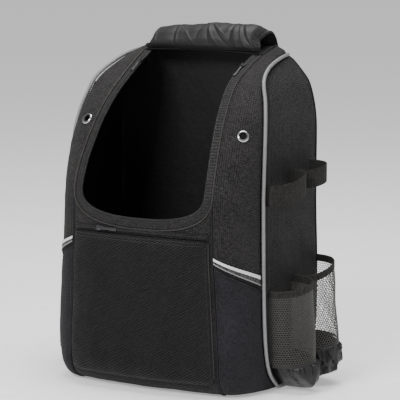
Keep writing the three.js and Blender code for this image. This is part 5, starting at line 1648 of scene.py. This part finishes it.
# Haul loop
s = np.linspace(-1, 1, 120)
y = HALF_DEPTH + SKIN_GAP + 0.2 + HAUL_OUT * (1 - np.abs(s) ** 3.2)
p = np.stack([s * HAUL_HALF, y, np.full(120, HAUL_Z)], -1)
t = unit(np.gradient(p, axis=0))
normal = unit(np.cross(t, UPWARD))
normal *= np.sign(normal[60, 1])
obj = swept_band("haul_loop_band", p, UPWARD, normal, HAUL_TALL / 2, WEB_THICK, [WEBBING], corner=0.42)
place(obj, "webbing", "haul_loop")
for k in (-8, 8):
    line = p + UPWARD * k + normal * 1.65
    stitch(line[4:30], normal[4:30])
    stitch(line[-30:-4], normal[-30:-4])

# All top stitches as one piece
centres, along, across, out = (np.concatenate([r[k] for r in stitch_rows]) for k in range(4))
obj = scatter("top_stitches", STITCH_SHAPE, STITCH_FACES, centres, along, across, out, THREAD)
place(obj, "upper_fabric")

# Camera and light
camera_data = bpy.data.cameras.new("camera")
camera = bpy.data.objects.new("camera", camera_data)
bpy.context.scene.collection.objects.link(camera)
bpy.context.scene.camera = camera
back = Vector((math.sin(CAMERA_AZIMUTH) * math.cos(CAMERA_ELEVATION),
               -math.cos(CAMERA_AZIMUTH) * math.cos(CAMERA_ELEVATION),
               math.sin(CAMERA_ELEVATION)))
right = Vector((math.cos(CAMERA_AZIMUTH), math.sin(CAMERA_AZIMUTH), 0.0))
up = back.cross(right)
shift_x, shift_y = ((IMAGE_PIXELS / 2 - pixel) / PIXELS_PER_METRE for pixel in AIM_PIXEL)
target = AIM + right * shift_x - up * shift_y
camera.location = target + back * CAMERA_DISTANCE
camera.rotation_euler = (-back).to_track_quat("-Z", "Y").to_euler()
camera_data.sensor_width = SENSOR
camera_data.lens = PIXELS_PER_METRE * CAMERA_DISTANCE / IMAGE_PIXELS * SENSOR

world = bpy.data.worlds.new("studio")
bpy.context.scene.world = world
world.use_nodes = True
world.node_tree.nodes["Background"].inputs[0].default_value = (1.0, 1.0, 1.0, 1.0)
world.node_tree.nodes["Background"].inputs[1].default_value = WORLD_LIGHT


def area_light(name, location, aim, size, energy):
    data = bpy.data.lights.new(name, "AREA")
    data.shape = "RECTANGLE"
    data.size, data.size_y = size
    data.energy = energy
    light = bpy.data.objects.new(name, data)
    light.location = location
    light.rotation_euler = (Vector(aim) - Vector(location)).to_track_quat("-Z", "Y").to_euler()
    bpy.context.scene.collection.objects.link(light)


# Lights; columns: name, place, aim, size, watts
LIGHTS = [
    ("key", (-0.2, -2.6, 2.1), (0, 0, 0.25), (1.3, 1.0), 88),
    ("fill", (2.4, -1.2, 1.1), (0, 0, 0.25), (1.4, 1.4), 6),
    ("top", (0.1, 0.1, 2.4), (0, 0, 0.3), (1.8, 1.4), 66),
]
for row in LIGHTS:
    area_light(*row)

# Floor
FLOOR_HALF = 60000.0
FLOOR_Z = -0.4
corners = np.array([[-1, -1], [1, -1], [1, 1], [-1, 1]]) * FLOOR_HALF
floor = make_object("floor", np.concatenate([corners, np.full((4, 1), FLOOR_Z)], -1), [(0, 1, 2, 3)],
                    [hard_material("floor_paper", (0.90, 0.90, 0.905), 0.8, 0.0)], None, np.zeros((4, 2)))
paper = floor.data.materials[0].node_tree.nodes["Principled BSDF"]
paper.inputs["Emission Color"].default_value = (1.0, 1.0, 1.0, 1.0)
paper.inputs["Emission Strength"].default_value = FLOOR_LIGHT
